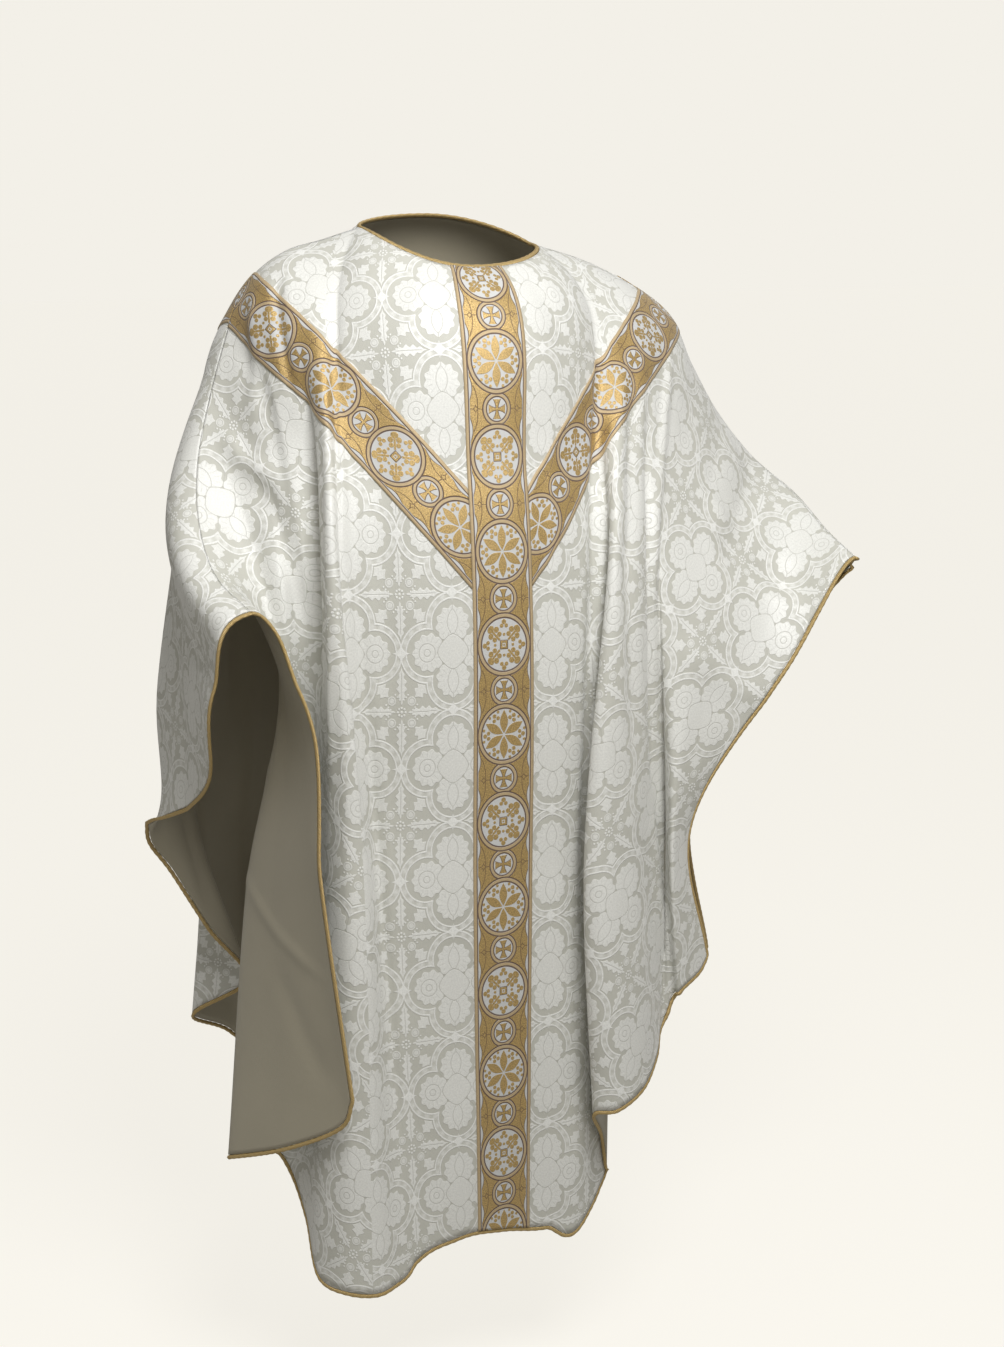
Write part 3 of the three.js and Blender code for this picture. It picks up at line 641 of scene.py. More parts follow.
def orphrey_arm(cloth, word, side, width, thickness):
    """An arm of the orphrey: lanes at the arm's lean, from the band's edge up to the shoulder seam. On a
    lane at s, across = half + s cos(lean) + r sin(lean) and depth = start + s sin(lean) - r cos(lean)."""
    half = width / MM / 2
    sin, cos = math.sin(ARM_LEAN), math.cos(ARM_LEAN)
    shoulder = side * cloth["c"] > 0.9
    seam_u, seam_v = side * cloth["across"][shoulder, 0] - half, cloth["depth"][shoulder, 0] - ARM_START
    seam_s, seam_r = seam_u * cos + seam_v * sin, seam_u * sin - seam_v * cos
    order = np.argsort(seam_s)
    lanes = np.linspace(-half, half, LANES)
    last = np.interp(lanes, seam_s[order], seam_r[order])
    first = SEWN_GAP * sin - (lanes - SEWN_GAP * cos) * cos / sin
    r = first[:, None] + (last - first)[:, None] * np.linspace(0, 1, ARM_POINTS)
    s = np.broadcast_to(lanes[:, None], r.shape)
    across = side * (half + s * cos + r * sin)
    depth = ARM_START + s * sin - r * cos
    return strip(f"arm_{word}", cloth, across, depth, galloon_uv(s, GALLOON_START + r - ARM_SHIFT),
                 thickness, reverse=side > 0)


def cord_round(name, path, normal, out, width, height, pitch):
    """A laid cord beside a path: an oval ring carried along it, closed by a fan at each end. The strands
    swell the ring and wind round it, r = 1 + swell cos(strands angle - 2 pi run / pitch)."""
    run = lengths(path)
    count = int(run[-1] / CORD_STEP)
    even = np.linspace(0, run[-1], count)
    path, normal, out = (np.stack([np.interp(even, run, v[:, k]) for k in range(3)], 1)
                         for v in (path, normal, out))
    normal = unit(normal)
    out = unit(out - normal * (out * normal).sum(1, keepdims=True))
    angle = np.linspace(0, 2 * np.pi, CORD_SIDES, endpoint=False)
    swell = 1 + CORD_SWELL * np.cos(CORD_STRANDS * angle - 2 * np.pi * even[:, None] / pitch)
    side = SEWN_GAP + width / 2 + width * CORD_HALF * swell * np.cos(angle)
    high = CORD_SINK + height * CORD_HALF * swell * np.sin(angle)
    ring = path[:, None] + out[:, None] * side[:, :, None] + normal[:, None] * high[:, :, None]
    number = np.arange(count * CORD_SIDES).reshape(count, CORD_SIDES)
    around = np.roll(number, -1, axis=1)
    quads = np.stack([number[:-1], around[:-1], around[1:], number[1:]], -1).reshape(-1, 4)
    u, v = np.meshgrid(even / 10, np.arange(CORD_SIDES) / CORD_SIDES, indexing="ij")
    uv, beside = np.stack([u, v], -1), np.stack([u, v + 1 / CORD_SIDES], -1)
    corner_uv = np.stack([uv[:-1], beside[:-1], beside[1:], uv[1:]], 2).reshape(-1, 4, 2)
    points = np.concatenate([ring.reshape(-1, 3), ring[:1].mean(1), ring[-1:].mean(1)]) * MM
    caps = []
    for centre, loop in ((len(points) - 2, number[0][::-1]), (len(points) - 1, number[-1])):
        first, second = loop[::2], loop[1::2]
        caps.append(np.stack([first, second, np.roll(first, -1), np.full(len(first), centre)], 1))
    caps = np.concatenate(caps)
    faces = np.concatenate([quads, caps])
    uvs = np.concatenate([corner_uv, np.zeros((len(caps), 4, 2))])
    half_way = count // 2
    a, b, c = ring[half_way, 0], ring[half_way, 1], ring[half_way + 1, 1]
    if np.dot(np.cross(b - a, c - a), a - ring[half_way].mean(0)) < 0:
        faces, uvs = faces[:, ::-1], uvs[:, ::-1]
    return make_mesh(name, points, faces, uvs)


def edge_braid(cloth, width):
    """The cord down one open side, along the hem and up the other, just outside the cloth's edge"""
    def rim(values, k=0):
        """The line of points along the open edge, or k points inside it"""
        return np.concatenate([values[k, :-1], values[:, -1 - k], values[-1 - k, :-1][::-1]])

    path, normal, inside = rim(cloth["grid"]), rim(cloth["normal"]), rim(cloth["grid"], 1)
    out = unit(np.cross(np.gradient(path, axis=0), normal))
    away = (out * (path - inside)).sum(1, keepdims=True)
    return cord_round(f"{cloth['name']}_edge_cord", path, normal, np.where(away < 0, -out, out),
                      width / MM, **EDGE_CORD)


def neck_braid(cloth, width):
    """The cord round the panel's half of the neckline, standing in towards the neck"""
    near = np.abs(cloth["c"]) <= 1
    path, normal = cloth["grid"][near, 0], cloth["normal"][near, 0]
    out = unit(path - cloth["grid"][near, 1])
    return cord_round(f"{cloth['name']}_neck_cord", path, normal, out, width / MM, **NECK_CORD)


# ---------------------------------------------------------------- materials


class Sum:
    """A value in a node tree that can be worked with: each operation adds a Math node"""

    def __init__(self, tree, socket):
        self.tree, self.socket = tree, socket

    def do(self, operation, *others, clamp=False):
        node = self.tree.nodes.new("ShaderNodeMath")
        node.operation, node.use_clamp = operation, clamp
        for k, value in enumerate((self, *others)):
            if isinstance(value, Sum):
                self.tree.links.new(value.socket, node.inputs[k])
            else:
                node.inputs[k].default_value = value
        return Sum(self.tree, node.outputs[0])

    def __add__(self, other):
        return self.do("ADD", other)

    def __sub__(self, other):
        return self.do("SUBTRACT", other)

    def __mul__(self, other):
        return self.do("MULTIPLY", other)

    def __truediv__(self, other):
        return self.do("DIVIDE", other)

    def __rsub__(self, other):
        return (self * -1) + other

    __radd__, __rmul__ = __add__, __mul__

    def abs(self):
        return self.do("ABSOLUTE")

    def max(self, other):
        return self.do("MAXIMUM", other)

    def min(self, other):
        return self.do("MINIMUM", other)

    def sin(self):
        return self.do("SINE")

    def cos(self):
        return self.do("COSINE")

    def kept(self):
        """The value, held between 0 and 1"""
        return self.do("ADD", 0, clamp=True)

    def within(self, limit, soft):
        """1 where the value is below the limit, 0 above it, and a soft step between"""
        return ((limit - self) / soft + 0.5).kept()

    def band(self, low, high, soft):
        """1 between two limits"""
        return self.within(high, soft) * (1 - self.within(low, soft))

    def line(self, at, half, soft):
        """1 on a line drawn where the value is at a place, half as wide as said on each side"""
        return (self - at).abs().within(half, soft)

    def angle(self, along):
        """The angle of the place (along, self) round the origin"""
        return self.do("ARCTAN2", along)


def distance(a, b):
    """How far the place (a, b) is from the origin"""
    return (a * a + b * b).do("SQRT")


def repeat(value, period=1.0):
    """The value's place in its repeat, from -half to half"""
    return (value + period / 2).do("FLOORED_MODULO", period) - period / 2


def slanted(a, b):
    """A place measured along the diagonal of a square and away from it"""
    return (a + b) * math.sqrt(0.5), (a - b).abs() * math.sqrt(0.5)


def bulge(along, near, far):
    """The edge of a leaf: sin(pi (along - near) / (far - near)), and nothing before and after it"""
    return ((along - near) * (math.pi / (far - near))).sin().max(0)


def petals(x, y, count, turn, near, far, wide, soft):
    """Pointed petals round a centre, each as wide as its bulge"""
    r = distance(x, y)
    local = repeat(y.angle(x) - turn, 2 * math.pi / count)
    along, aside = r * local.cos(), (r * local.sin()).abs()
    return (aside - bulge(along, near, far) * wide).within(0, soft) * along.band(near, far, soft)


def dots(along, aside, places, soft):
    """1 on round dots, each given as (along, aside, radius)"""
    every = [distance(along - x, aside - y).within(radius, soft) for x, y, radius in places]
    return functools.reduce(Sum.max, every)


def new_group(name, inputs, outputs):
    """A shader node group with its input values, and its two ends"""
    tree = bpy.data.node_groups.new(name, "ShaderNodeTree")
    for label, kind, value in inputs:
        socket = tree.interface.new_socket(label, in_out="INPUT", socket_type=kind)
        if value is not None:
            socket.default_value = value
    for label in outputs:
        tree.interface.new_socket(label, in_out="OUTPUT", socket_type="NodeSocketFloat")
    return tree, tree.nodes.new("NodeGroupInput"), tree.nodes.new("NodeGroupOutput")


def feed(tree, node, values):
    """Gives a node's inputs their values by name: sockets are linked, and plain values are set"""
    for name, value in values.items():
        value = value.socket if isinstance(value, Sum) else value
        if isinstance(value, bpy.types.NodeSocket):
            tree.links.new(value, node.inputs[name])
        else:
            node.inputs[name].default_value = value


def place_of(tree, socket):
    """The two parts of a place"""
    split = tree.nodes.new("ShaderNodeSeparateXYZ")
    tree.links.new(socket, split.inputs[0])
    return Sum(tree, split.outputs[0]), Sum(tree, split.outputs[1])


def noise(tree, socket, scale, detail, roughness=0.5):
    """Soft random blotches, from 0 to 1 with most near 0.5"""
    node = tree.nodes.new("ShaderNodeTexNoise")
    feed(tree, node, {"Vector": socket, "Scale": scale, "Detail": detail, "Roughness": roughness})
    return Sum(tree, node.outputs["Fac"])


@functools.cache
def thread_group():
    """Fine crossed threads: sin(x) sin(y) at the threads' spacing, set wandering by noise"""
    tree, start, end = new_group(
        "Threads", [("Place", "NodeSocketVector", None), ("Across", "NodeSocketFloat", 900.0),
                    ("Along", "NodeSocketFloat", 900.0)], ["Height"])
    x, y = place_of(tree, start.outputs["Place"])
    across, along = Sum(tree, start.outputs["Across"]), Sum(tree, start.outputs["Along"])
    wander = noise(tree, start.outputs["Place"], 40, 2) * 3
    feed(tree, end, {"Height": (x * across + wander).sin() * (y * along + wander).sin() * 0.5 + 0.5})
    return tree


def damask_group():
    """The damask's repeat: a quatrefoil of four flowers inside a beaded double line, a small star where
    quatrefoils meet, and a rosette with leaves and buds between them. Place, and every size here, is in
    repeats. Satin is the raised cloth, and Lines are thin lines that cut into it."""
    tree, start, end = new_group("Damask motifs", [("Place", "NodeSocketVector", None)], ["Satin", "Lines"])
    soft = 0.006
    x, y = place_of(tree, start.outputs["Place"])
    ax, ay = repeat(x).abs(), repeat(y).abs()
    # a and b point along and away from the nearest of the quatrefoil's four lobes
    a, b = ax.max(ay), ax.min(ay)
    upright = 1 - (ay - ax).within(0, 0.002)
    lobe = 0.25
    off, way = distance(a - lobe, b), b.angle(a - lobe)
    outside = 1 - (a + b * 0.8).within(0.155, soft)
    beads = off.band(0.212, 0.246, soft) * ((way * 15).cos() * 0.25 + 0.45)
    double_line = off.band(0.197, 0.212, soft).max(off.band(0.246, 0.262, soft)).max(beads) * outside
    flower_centre = 0.228
    serrated = 0.157 + (b.angle(a - flower_centre) * 11).cos() * 0.011
    flower = (distance(a - flower_centre, b) - serrated).within(0, soft) * outside
    # what is drawn on the flowers: a bud on the upright ones, a rose on the others, rays and a cross
    bud_share = (a - lobe) / 0.115
    bud = (b - 0.052 * (1 - bud_share * bud_share).max(0)).line(0, 0.0035, soft)
    rose = off.line(0.078, 0.004, soft).max(off.line(0.030, 0.0035, soft))
    rays = (way * 8).sin().line(0, 0.14, 0.1) * off.band(0.09, 0.15, 0.02) * 0.55
    veins = (bud * upright).max(rose * (1 - upright)).max(rays)
    cross = (a - b).within(0.007, soft) * (a + b).band(0.17, 0.40, 0.01)
    roundness = 1.45
    heart = (ax.do("POWER", roundness) + ay.do("POWER", roundness)).do("POWER", 1 / roundness)
    middle = heart.within(0.148, soft)
    inside = off.within(0.20, soft).max(middle)
    quatrefoil = double_line.max(flower * inside * 0.8).max(middle * 0.74)
    lines = (veins.max(cross) * (1 - middle)).max(heart.line(0.151, 0.004, soft)) * inside
    # between the quatrefoils, measured from the corner of the repeat
    cx, cy = 0.5 - ax, 0.5 - ay
    out = distance(cx, cy)
    ring = 0.036
    petal_dots = distance(out - ring, repeat(cy.angle(cx), math.pi / 4) * ring).within(0.010, soft)
    rosette = petal_dots.max(out.within(0.012, soft))
    long, wide = cx.max(cy), cx.min(cy)
    leaf_edge = bulge(long, 0.06, 0.39) * (0.040 + (long * 95).cos() * 0.012)
    leaf = (wide - leaf_edge).within(0, soft) * long.band(0.06, 0.39, soft)
    rib = wide.within(0.0035, soft) * long.band(0.10, 0.34, 0.02)
    slant, aside = slanted(cx, cy)
    from_bud = distance(slant - 0.135, aside)
    tuft_edge = bulge(slant, 0.18, 0.35) * (0.055 + (slant * 110).cos() * 0.016)
    tuft = (aside - tuft_edge).within(0, soft) * slant.band(0.18, 0.33, soft)
    seeds = distance(repeat(slant - 0.12, 0.03), aside - 0.062).within(0.008, soft)
    seeds = seeds * slant.band(0.07, 0.17, 0.01)
    clear = 1 - off.within(0.272, soft)
    round_bud = from_bud.within(0.040, soft)
    between = rosette.max(leaf * 0.86).max(round_bud * 0.7).max(tuft * 0.8).max(seeds) * clear
    between_lines = from_bud.line(0.026, 0.003, soft).max(rib) * clear
    point = 0.6
    star = ((0.5 - a).abs().do("POWER", point) + b.do("POWER", point)).within(0.235, 0.03)
    feed(tree, end, {"Satin": quatrefoil.max(between).max(star), "Lines": lines.max(between_lines)})
    return tree


def galloon_group():
    """The galloon's repeat, in millimetres: large rings that hold a six-petalled flower and a leafy cross
    by turns, small rings between them with a flared cross, leaves in the corners and a border. Gold and
    Beige are its raised threads, and Outline is the thin brown line round them."""
    tree, start, end = new_group(
        "Galloon motifs", [("Place", "NodeSocketVector", None)], ["Gold", "Beige", "Outline"])
    soft = 0.5
    x, turns = place_of(tree, start.outputs["Place"])
    x = x * GALLOON_MAP
    period = GALLOON_REPEAT / GALLOON_STRETCH
    run = turns * period
    y, small_y = repeat(run, period), repeat(run + period / 2, period)
    second = repeat(run, 2 * period).abs().within(period / 2, 0.01)  # 1 on every other large ring
    ax, ay, by = x.abs(), y.abs(), small_y.abs()
    big, small = distance(x, y), distance(x, small_y)
    big_ring, small_ring = big.band(29.8, 33.2, soft), small.band(13.2, 16.4, soft)
    big_lines = big.line(33.9, 0.75, soft).max(big.line(29.0, 0.8, soft))
    small_lines = small.line(17.3, 0.7, soft).max(small.line(12.8, 0.7, soft))
    in_big, in_small = big.within(29.4, soft), small.within(13.0, soft)
    # the six-petalled flower, with small trefoils between its petals
    local = repeat(y.angle(x), math.pi / 3)
    trefoils = dots(big * local.cos(), (big * local.sin()).abs(),
                    ((24.5, 0, 2.5), (20.0, 2.9, 2.3), (26.0, 6.2, 1.7)), soft)
    flower = petals(x, y, 6, math.pi / 6, 1.5, 27.5, 5.0, soft).max(trefoils)
    # the leafy cross round a small square, with a spray on each diagonal
    slant, aside = slanted(ax, ay)
    spray = (dots(slant, aside, ((18.6, 5.0, 3.3), (12.4, 4.2, 2.8)), soft)
             .max(distance(slant - 24.0, aside * 0.8).within(3.7, soft))
             .max(aside.within(1.3, soft) * slant.band(7.5, 24, soft)))
    box, wide = ax.max(ay), ax.min(ay)
    leaves = dots(box, wide, ((24.8, 0, 2.8), (20.6, 2.9, 2.3), (11.2, 0, 1.7)), soft)
    square = box.band(2.0, 4.4, soft).max(box.within(1.0, soft))
    leafy = spray.max(leaves).max(square)
    square_line = box.line(4.7, 0.4, soft)
    # the flared cross of the small ring
    arm = ax.max(by)
    flare = ax.min(by) - (1.4 + arm * arm * 0.033)
    cross = flare.within(0, soft) * arm.within(10.2, soft)
    cross_line = flare.line(0, 0.35, soft) * arm.within(10.4, soft)
    # the corners beside each small ring: a gold edge with curled leaves, and a small four-pointed star
    corner = (1 - big.within(34.2, soft)) * (1 - small.within(17.4, soft)) * ax.within(33.0, soft)
    edge = 34.4 - bulge(by, 6, 37) * 4.4 * by.within(37, 0.01)
    corner_gold = corner * (ax - edge).within(0, soft)
    curl = distance(ax - 40.0, (by - 4.0) * 0.62).line(16.5, 0.4, soft) * (ax - edge).within(-1.2, soft)
    point = 0.62
    star = (ax - 26.0).abs().do("POWER", point) + by.do("POWER", point)
    stem = by.within(0.4, soft) * (1 - star.within(2.5, 0.2))
    corner_lines = curl.max(star.line(2.5, 0.3, 0.25)).max(ax.line(edge, 0.45, soft)).max(stem) * corner
    gold = (flower * second + leafy * (1 - second)) * in_big
    beige = big_ring.max(small_ring * (1 - big.within(33.8, soft))).max(ax.band(34.9, 39.2, soft))
    outline = (big_lines.max(small_lines * (1 - big.within(33.2, soft)))
               .max(ax.line(34.4, 0.65, soft)).max(cross_line * in_small)
               .max(square_line * in_big * (1 - second)).max(corner_lines * 0.85)) * ax.within(35.3, soft)
    feed(tree, end, {"Gold": gold.max(cross * in_small).max(corner_gold), "Beige": beige, "Outline": outline})
    return tree


def new_material(name):
    """A material, its node tree and its shader"""
    material = bpy.data.materials.new(name)
    material.use_nodes = True
    return material, material.node_tree, material.node_tree.nodes["Principled BSDF"]


def use_group(tree, group, names, values):
    """A group placed in a material, and its outputs by name"""
    node = tree.nodes.new("ShaderNodeGroup")
    node.node_tree = group
    feed(tree, node, values)
    return [Sum(tree, node.outputs[name]) for name in names]


def mix_color(tree, share, first, second):
    """first where share is 0, second where it is 1. Each is a colour or a colour socket."""
    node = tree.nodes.new("ShaderNodeMix")
    node.data_type = "RGBA"
    tree.links.new(share.socket, node.inputs["Factor"])
    for key, value in (("A", first), ("B", second)):
        target = next(s for s in node.inputs if s.name == key and s.type == "RGBA")
        if isinstance(value, bpy.types.NodeSocket):
            tree.links.new(value, target)
        else:
            target.default_value = (*value, 1)
    return next(s for s in node.outputs if s.type == "RGBA")


def tint(color, k):
    """A colour made lighter or darker"""
    return tuple(min(1.0, c * k) for c in color)


def mottle(tree, share, color, first, second):
    """A colour that runs from its first tint to its second by a share"""
    return mix_color(tree, share, tint(color, first), tint(color, second))


def bump(tree, height, distance, strength):
    """A surface's fine relief, as a normal"""
    node = tree.nodes.new("ShaderNodeBump")
    feed(tree, node, {"Height": height, "Distance": distance, "Strength": strength})
    return node.outputs[0]


def coordinates(tree):
    """A place on the flat cloth, and one on the hung cloth"""
    uv = tree.nodes.new("ShaderNodeUVMap")
    uv.uv_map = "Flat"
    return uv.outputs[0], tree.nodes.new("ShaderNodeTexCoord").outputs["Object"]


def threads(tree, uv, across, along):
    """The height of the crossed threads, which lie across and along the map by so many radians a unit"""
    return use_group(tree, thread_group(), ["Height"], {"Place": uv, "Across": across, "Along": along})[0]


def damask_material(cloth):
    """Ivory damask: shiny satin motifs, with the thread's grain, on a duller ground"""
    material, tree, shader = new_material("Damask")
    uv, place = coordinates(tree)
    satin, lines = use_group(tree, damask_group(), ["Satin", "Lines"], {"Place": uv})
    cloud, grain = noise(tree, place, 9, 4), noise(tree, uv, 60, 3, 0.7)
    ground_color = mottle(tree, cloud.within(0.5, 0.6), cloth.ground, 1.06, 0.92)
    satin_color = mottle(tree, grain.within(0.5, 0.35), cloth.satin, 1.05, 0.84)
    color = mix_color(tree, satin * 0.92, ground_color, satin_color)
    raised = satin * (1 - lines * 0.8)
    height = raised + threads(tree, uv, 900.0, 1000.0) * 0.18 + grain * 0.35
    feed(tree, shader, {
        "Base Color": mix_color(tree, lines * 0.62, color, tint(cloth.ground, 0.86)),
        "Roughness": 0.60 - raised * 0.27 + (grain - 0.5) * 0.18,
        "Specular IOR Level": 0.55, "Sheen Weight": 0.25, "Sheen Roughness": 0.4,
        "Normal": bump(tree, height, 0.00045, 0.9)})
    return material


def lining_material(cloth):
    """Smooth satin lining with faint slubs and a slow ripple"""
    material, tree, shader = new_material("Lining")
    uv, place = coordinates(tree)
    cloud, slub = noise(tree, place, 6, 4), noise(tree, uv, 22, 2)
    height = threads(tree, uv, 1400.0, 1500.0) * 0.15 + slub * 0.5 + cloud * 1.5
    feed(tree, shader, {
        "Base Color": mottle(tree, cloud.within(0.5, 0.7), cloth.lining_color, 1.07, 0.92),
        "Roughness": 0.44 + (slub - 0.5) * 0.16, "Sheen Weight": 0.15,
        "Normal": bump(tree, height, 0.0006, 0.5)})
    return material


def galloon_material(cloth):
    """Ivory galloon with motifs of gold thread, beige gold rings and borders, and brown outlines"""
    material, tree, shader = new_material("Galloon")
    uv, _ = coordinates(tree)
    gold, beige, outline = use_group(tree, galloon_group(), ["Gold", "Beige", "Outline"], {"Place": uv})
    glint = noise(tree, uv, 70, 3, 0.7)
    # glint, a fine noise, makes the gold and beige lighter and darker: painted glints on the metal thread. It
    # also sets roughness and bump
    gold_color = mottle(tree, glint.within(0.5, 0.3), cloth.gold, 1.45, 0.62)
    beige_color = mottle(tree, glint.within(0.5, 0.5), cloth.beige, 1.08, 0.88)
    color = cloth.ivory
    for share, own in ((gold, gold_color), (beige, beige_color), (outline, cloth.outline)):
        color = mix_color(tree, share * 0.95, color, own)
    thread = threads(tree, uv, 700.0, 800.0)
    height = gold * 0.55 + beige * 0.9 - outline * 0.5 + thread * 0.25 + glint * 0.3
    feed(tree, shader, {
        "Base Color": color, "Metallic": (gold * 0.45 + beige * 0.2) * (1 - outline),
        "Roughness": 0.60 - gold * 0.20 - beige * 0.08 + (glint - 0.5) * 0.2,
        "Sheen Weight": 0.1, "Normal": bump(tree, height, 0.0005, 0.9)})
    return material


def braid_material(cloth):
    """Twisted gold cord: sin of the place along it and round it, with glints. Its colour carries painted
    shade in the grooves of the twist, painted highlight on the twist's tops and painted glints
    """
    material, tree, shader = new_material("Braid")
    uv, place = coordinates(tree)
    x, y = place_of(tree, uv)
    strand = (x * (2 * math.pi * 5.5) + y * (2 * math.pi * 3)).sin() * 0.5 + 0.5
    glint = noise(tree, place, 700, 2, 0.6)
    # The base colour holds painted shade in the twist's grooves and painted highlight on its tops, from the
    # strand, and painted glints from the glint noise
    feed(tree, shader, {
        "Base Color": mottle(tree, (strand * 0.6 + glint * 0.5 - 0.15).kept(), cloth.braid, 0.62, 1.18),
        "Metallic": 0.35, "Roughness": 0.55 - strand * 0.12,
        "Normal": bump(tree, strand + glint * 0.4, 0.0006, 0.8)})
    return material


MATERIALS = {"damask": damask_material, "lining": lining_material,
             "galloon": galloon_material, "braid": braid_material}


@functools.cache
def material_of(slot):
    """A slot's material, made once for all of its pieces"""
    return MATERIALS[slot](bpy.context.scene.chasuble_cloth)


# ---------------------------------------------------------------- operators

def finish_piece(obj, node, slot):
    """Gives a piece its material, hangs it on the body's root and hides the model's part that it stands for
    """
    obj.data.materials.append(material_of(slot))
    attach(obj, "root")
    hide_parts(node)
    return obj


class CHASUBLE_OT_panels(bpy.types.Operator):
    """Hang the damask panels and their lining"""

    bl_idname = "chasuble.panels"
    bl_label = "Panels and lining"

    def execute(self, context):
        sizes = context.scene.chasuble_cloth
        gap = SEWN_GAP * MM
        for name, panel in PANELS.items():
            cloth = hang(name)
            facing = panel["facing"]
            under = -sizes.damask - gap
            place = weave_place(cloth["across"], cloth["depth"])
            outer = wall(f"{name}_damask_cloth", lifted(cloth, 0), lifted(cloth, -sizes.damask),
                         place, facing, damask_uv(cloth))
            inner = wall(f"{name}_lining_cloth", lifted(cloth, under), lifted(cloth, under - sizes.lining),
                         place, facing)
            finish_piece(outer, f"{name}_damask", "damask")
            finish_piece(inner, f"{name}_lining", "lining")
        return {"FINISHED"}


class CHASUBLE_OT_orphrey(bpy.types.Operator):
    """Lay the orphrey's band and arms on both panels"""

    bl_idname = "chasuble.orphrey"
    bl_label = "Orphrey"

    def execute(self, context):
        sizes = context.scene.chasuble_cloth
        for name in PANELS:
            cloth = hang(name)
            band = orphrey_band(cloth, sizes.band, sizes.galloon)
            finish_piece(band, f"{name}_orphrey_band", "galloon")
            for word, side in (("right", -1), ("left", 1)):
                arm = orphrey_arm(cloth, word, side, sizes.band, sizes.galloon)
                finish_piece(arm, f"{name}_orphrey_arm_{word}", "galloon")
        return {"FINISHED"}


class CHASUBLE_OT_braids(bpy.types.Operator):
    bl_idname = "chasuble.braids"
    bl_label = "Braids"

    def execute(self, context):
        sizes = context.scene.chasuble_cloth
        for name, panel in PANELS.items():
            cloth = hang(name)
            edge = finish_piece(edge_braid(cloth, sizes.edge), f"{name}_edge_braid", "braid")
            neck = finish_piece(neck_braid(cloth, sizes.neck), f"{name}_neck_braid", "braid")
        return {"FINISHED"}


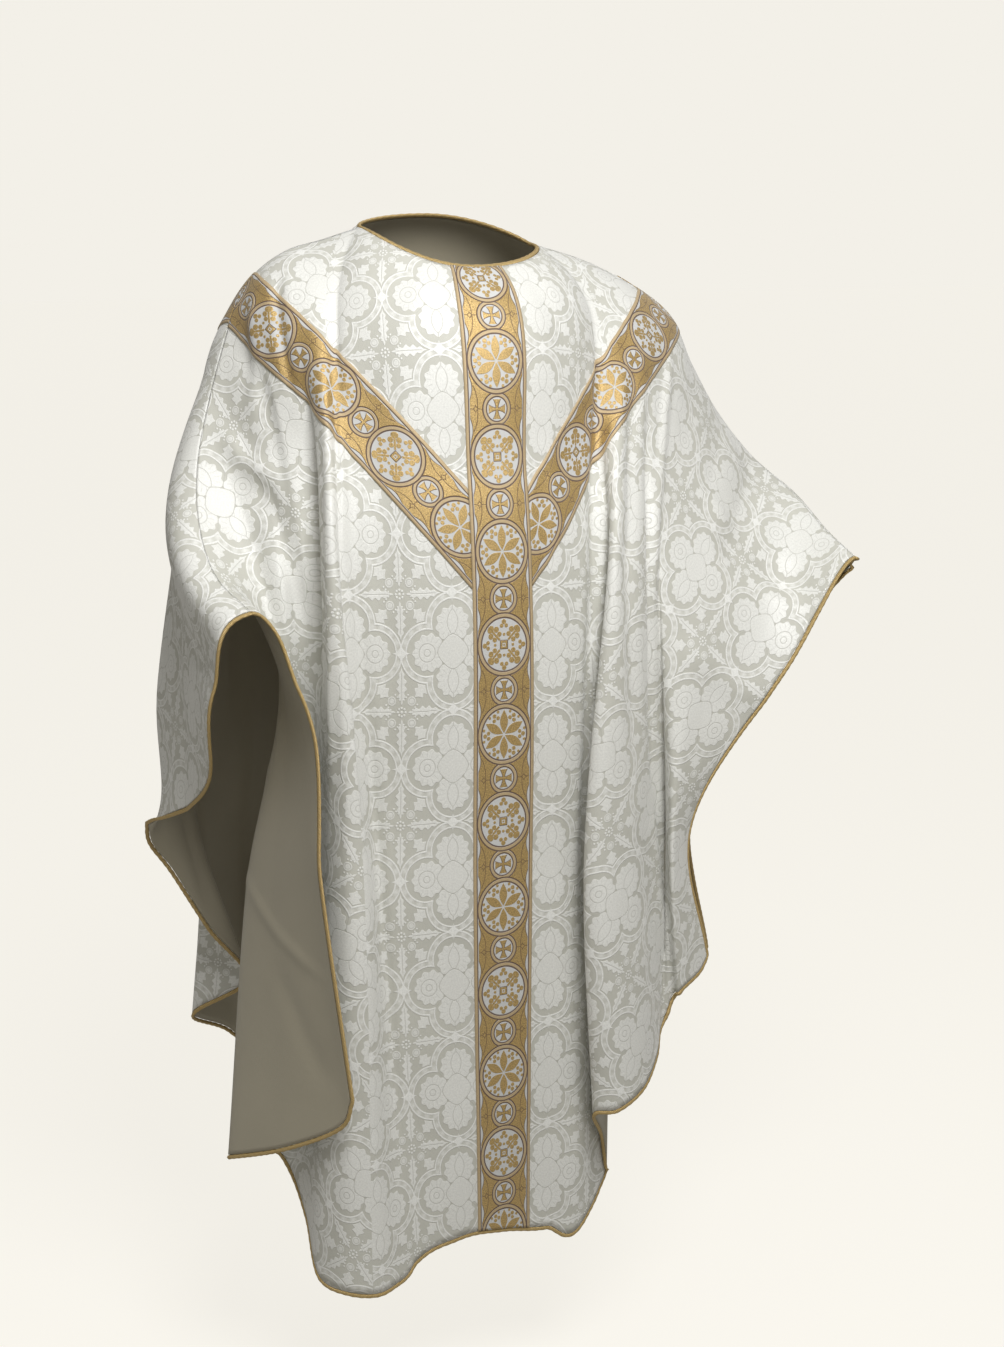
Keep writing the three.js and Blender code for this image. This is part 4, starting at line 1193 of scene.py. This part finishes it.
class CHASUBLE_OT_stage(bpy.types.Operator):
    """Set the floor, the soft light and the camera"""

    bl_idname = "chasuble.stage"
    bl_label = "Floor, light and camera"

    def execute(self, context):
        scene, stage = context.scene, context.scene.chasuble_stage
        self.floor(scene, stage)
        self.backdrop(scene, stage)
        self.lamps(scene, stage)
        self.camera(scene, stage)
        return {"FINISHED"}

    def glow(self, tree, full, soft):
        """A light's strength: full where the camera sees it, and soft on everything that it lights"""
        seen = Sum(tree, tree.nodes.new("ShaderNodeLightPath").outputs["Is Camera Ray"])
        return seen * (full - soft) + soft

    def floor(self, scene, stage):
        """A wide flat floor, as bright as the backdrop, that takes a faint shadow"""
        mesh = bpy.data.meshes.new("Floor")
        corners = [(x * FLOOR_HALF, y * FLOOR_HALF, stage.floor_height)
                   for x, y in ((-1, -1), (1, -1), (1, 1), (-1, 1))]
        mesh.from_pydata(corners, [], [(0, 1, 2, 3)])
        material, tree, shader = new_material("Floor")
        feed(tree, shader, {
            "Base Color": (*tint(stage.floor, FLOOR_SHADE), 1), "Emission Color": (*stage.floor, 1),
            "Emission Strength": self.glow(tree, FLOOR_GLOW, stage.soft_light),
            "Roughness": 0.9, "Specular IOR Level": 0.1})
        mesh.materials.append(material)
        floor = bpy.data.objects.new("Floor", mesh)
        scene.collection.objects.link(floor)

    def backdrop(self, scene, stage):
        """A plain world colour, which is also the soft light from all round"""
        world = bpy.data.worlds.new("Backdrop")
        world.use_nodes = True
        tree = world.node_tree
        feed(tree, tree.nodes["Background"], {
            "Color": (*stage.sky, 1), "Strength": self.glow(tree, 1, stage.soft_light)})
        scene.world = world
        scene.view_settings.view_transform = "Standard"

    def lamps(self, scene, stage):
        """A round lamp above the front, and a faint wide light from behind the wearer's left"""
        key = bpy.data.lights.new("Key", "AREA")
        key.shape, key.size, key.energy = "DISK", KEY_SIZE, stage.key_light
        rim = bpy.data.lights.new("Rim", "SUN")
        rim.energy, rim.angle = RIM_LIGHT, RIM_SPREAD
        for data, comes_from in ((key, Vector(KEY_PLACE) - Vector(KEY_AIM)), (rim, Vector(RIM_FROM))):
            lamp = bpy.data.objects.new(data.name, data)
            lamp.location = KEY_PLACE
            lamp.rotation_euler = comes_from.to_track_quat("Z", "Y").to_euler()
            scene.collection.objects.link(lamp)

    def camera(self, scene, stage):
        """A camera level with the horizon, turned and tilted round its target"""
        turn, tilt = stage.turn, stage.tilt
        back = Vector((-math.sin(turn) * math.cos(tilt), -math.cos(turn) * math.cos(tilt), math.sin(tilt)))
        right = Vector((math.cos(turn), -math.sin(turn), 0))
        axes = Matrix((right, right.cross(-back), back)).transposed().to_4x4()
        data = bpy.data.cameras.new("Camera")
        data.lens, data.sensor_width = CAMERA_LENS, CAMERA_SENSOR
        data.clip_start, data.clip_end = CAMERA_CLIP
        camera = bpy.data.objects.new("Camera", data)
        camera.matrix_world = Matrix.Translation(Vector(CAMERA_TARGET) + back * stage.distance) @ axes
        scene.collection.objects.link(camera)
        scene.camera = camera


class CHASUBLE_PT_pieces(bpy.types.Panel):
    """The chasuble's sizes, and a button for each group of pieces"""

    bl_idname = "CHASUBLE_PT_pieces"
    bl_label = "Gothic chasuble"
    bl_space_type = "VIEW_3D"
    bl_region_type = "UI"
    bl_category = "Chasuble"

    def draw(self, context):
        for group in (context.scene.chasuble_cloth, context.scene.chasuble_stage):
            box = self.layout.box()
            for prop in type(group).__annotations__:
                box.prop(group, prop)
        for operator in OPERATORS:
            self.layout.operator(operator.bl_idname)


OPERATORS = (CHASUBLE_OT_panels, CHASUBLE_OT_orphrey, CHASUBLE_OT_braids, CHASUBLE_OT_stage)
CLASSES = (ChasubleCloth, ChasubleStage, *OPERATORS, CHASUBLE_PT_pieces)


def register():
    """Makes the add-on's classes and settings known"""
    for cls in CLASSES:
        bpy.utils.register_class(cls)
    bpy.types.Scene.chasuble_cloth = bpy.props.PointerProperty(type=ChasubleCloth)
    bpy.types.Scene.chasuble_stage = bpy.props.PointerProperty(type=ChasubleStage)


def unregister():
    """Takes them away again"""
    del bpy.types.Scene.chasuble_cloth
    del bpy.types.Scene.chasuble_stage
    for cls in reversed(CLASSES):
        bpy.utils.unregister_class(cls)


def main():
    """Makes every piece and the stage"""
    register()
    for operator in OPERATORS:
        group, name = operator.bl_idname.split(".")
        getattr(getattr(bpy.ops, group), name)()


if __name__ == "__main__":
    main()
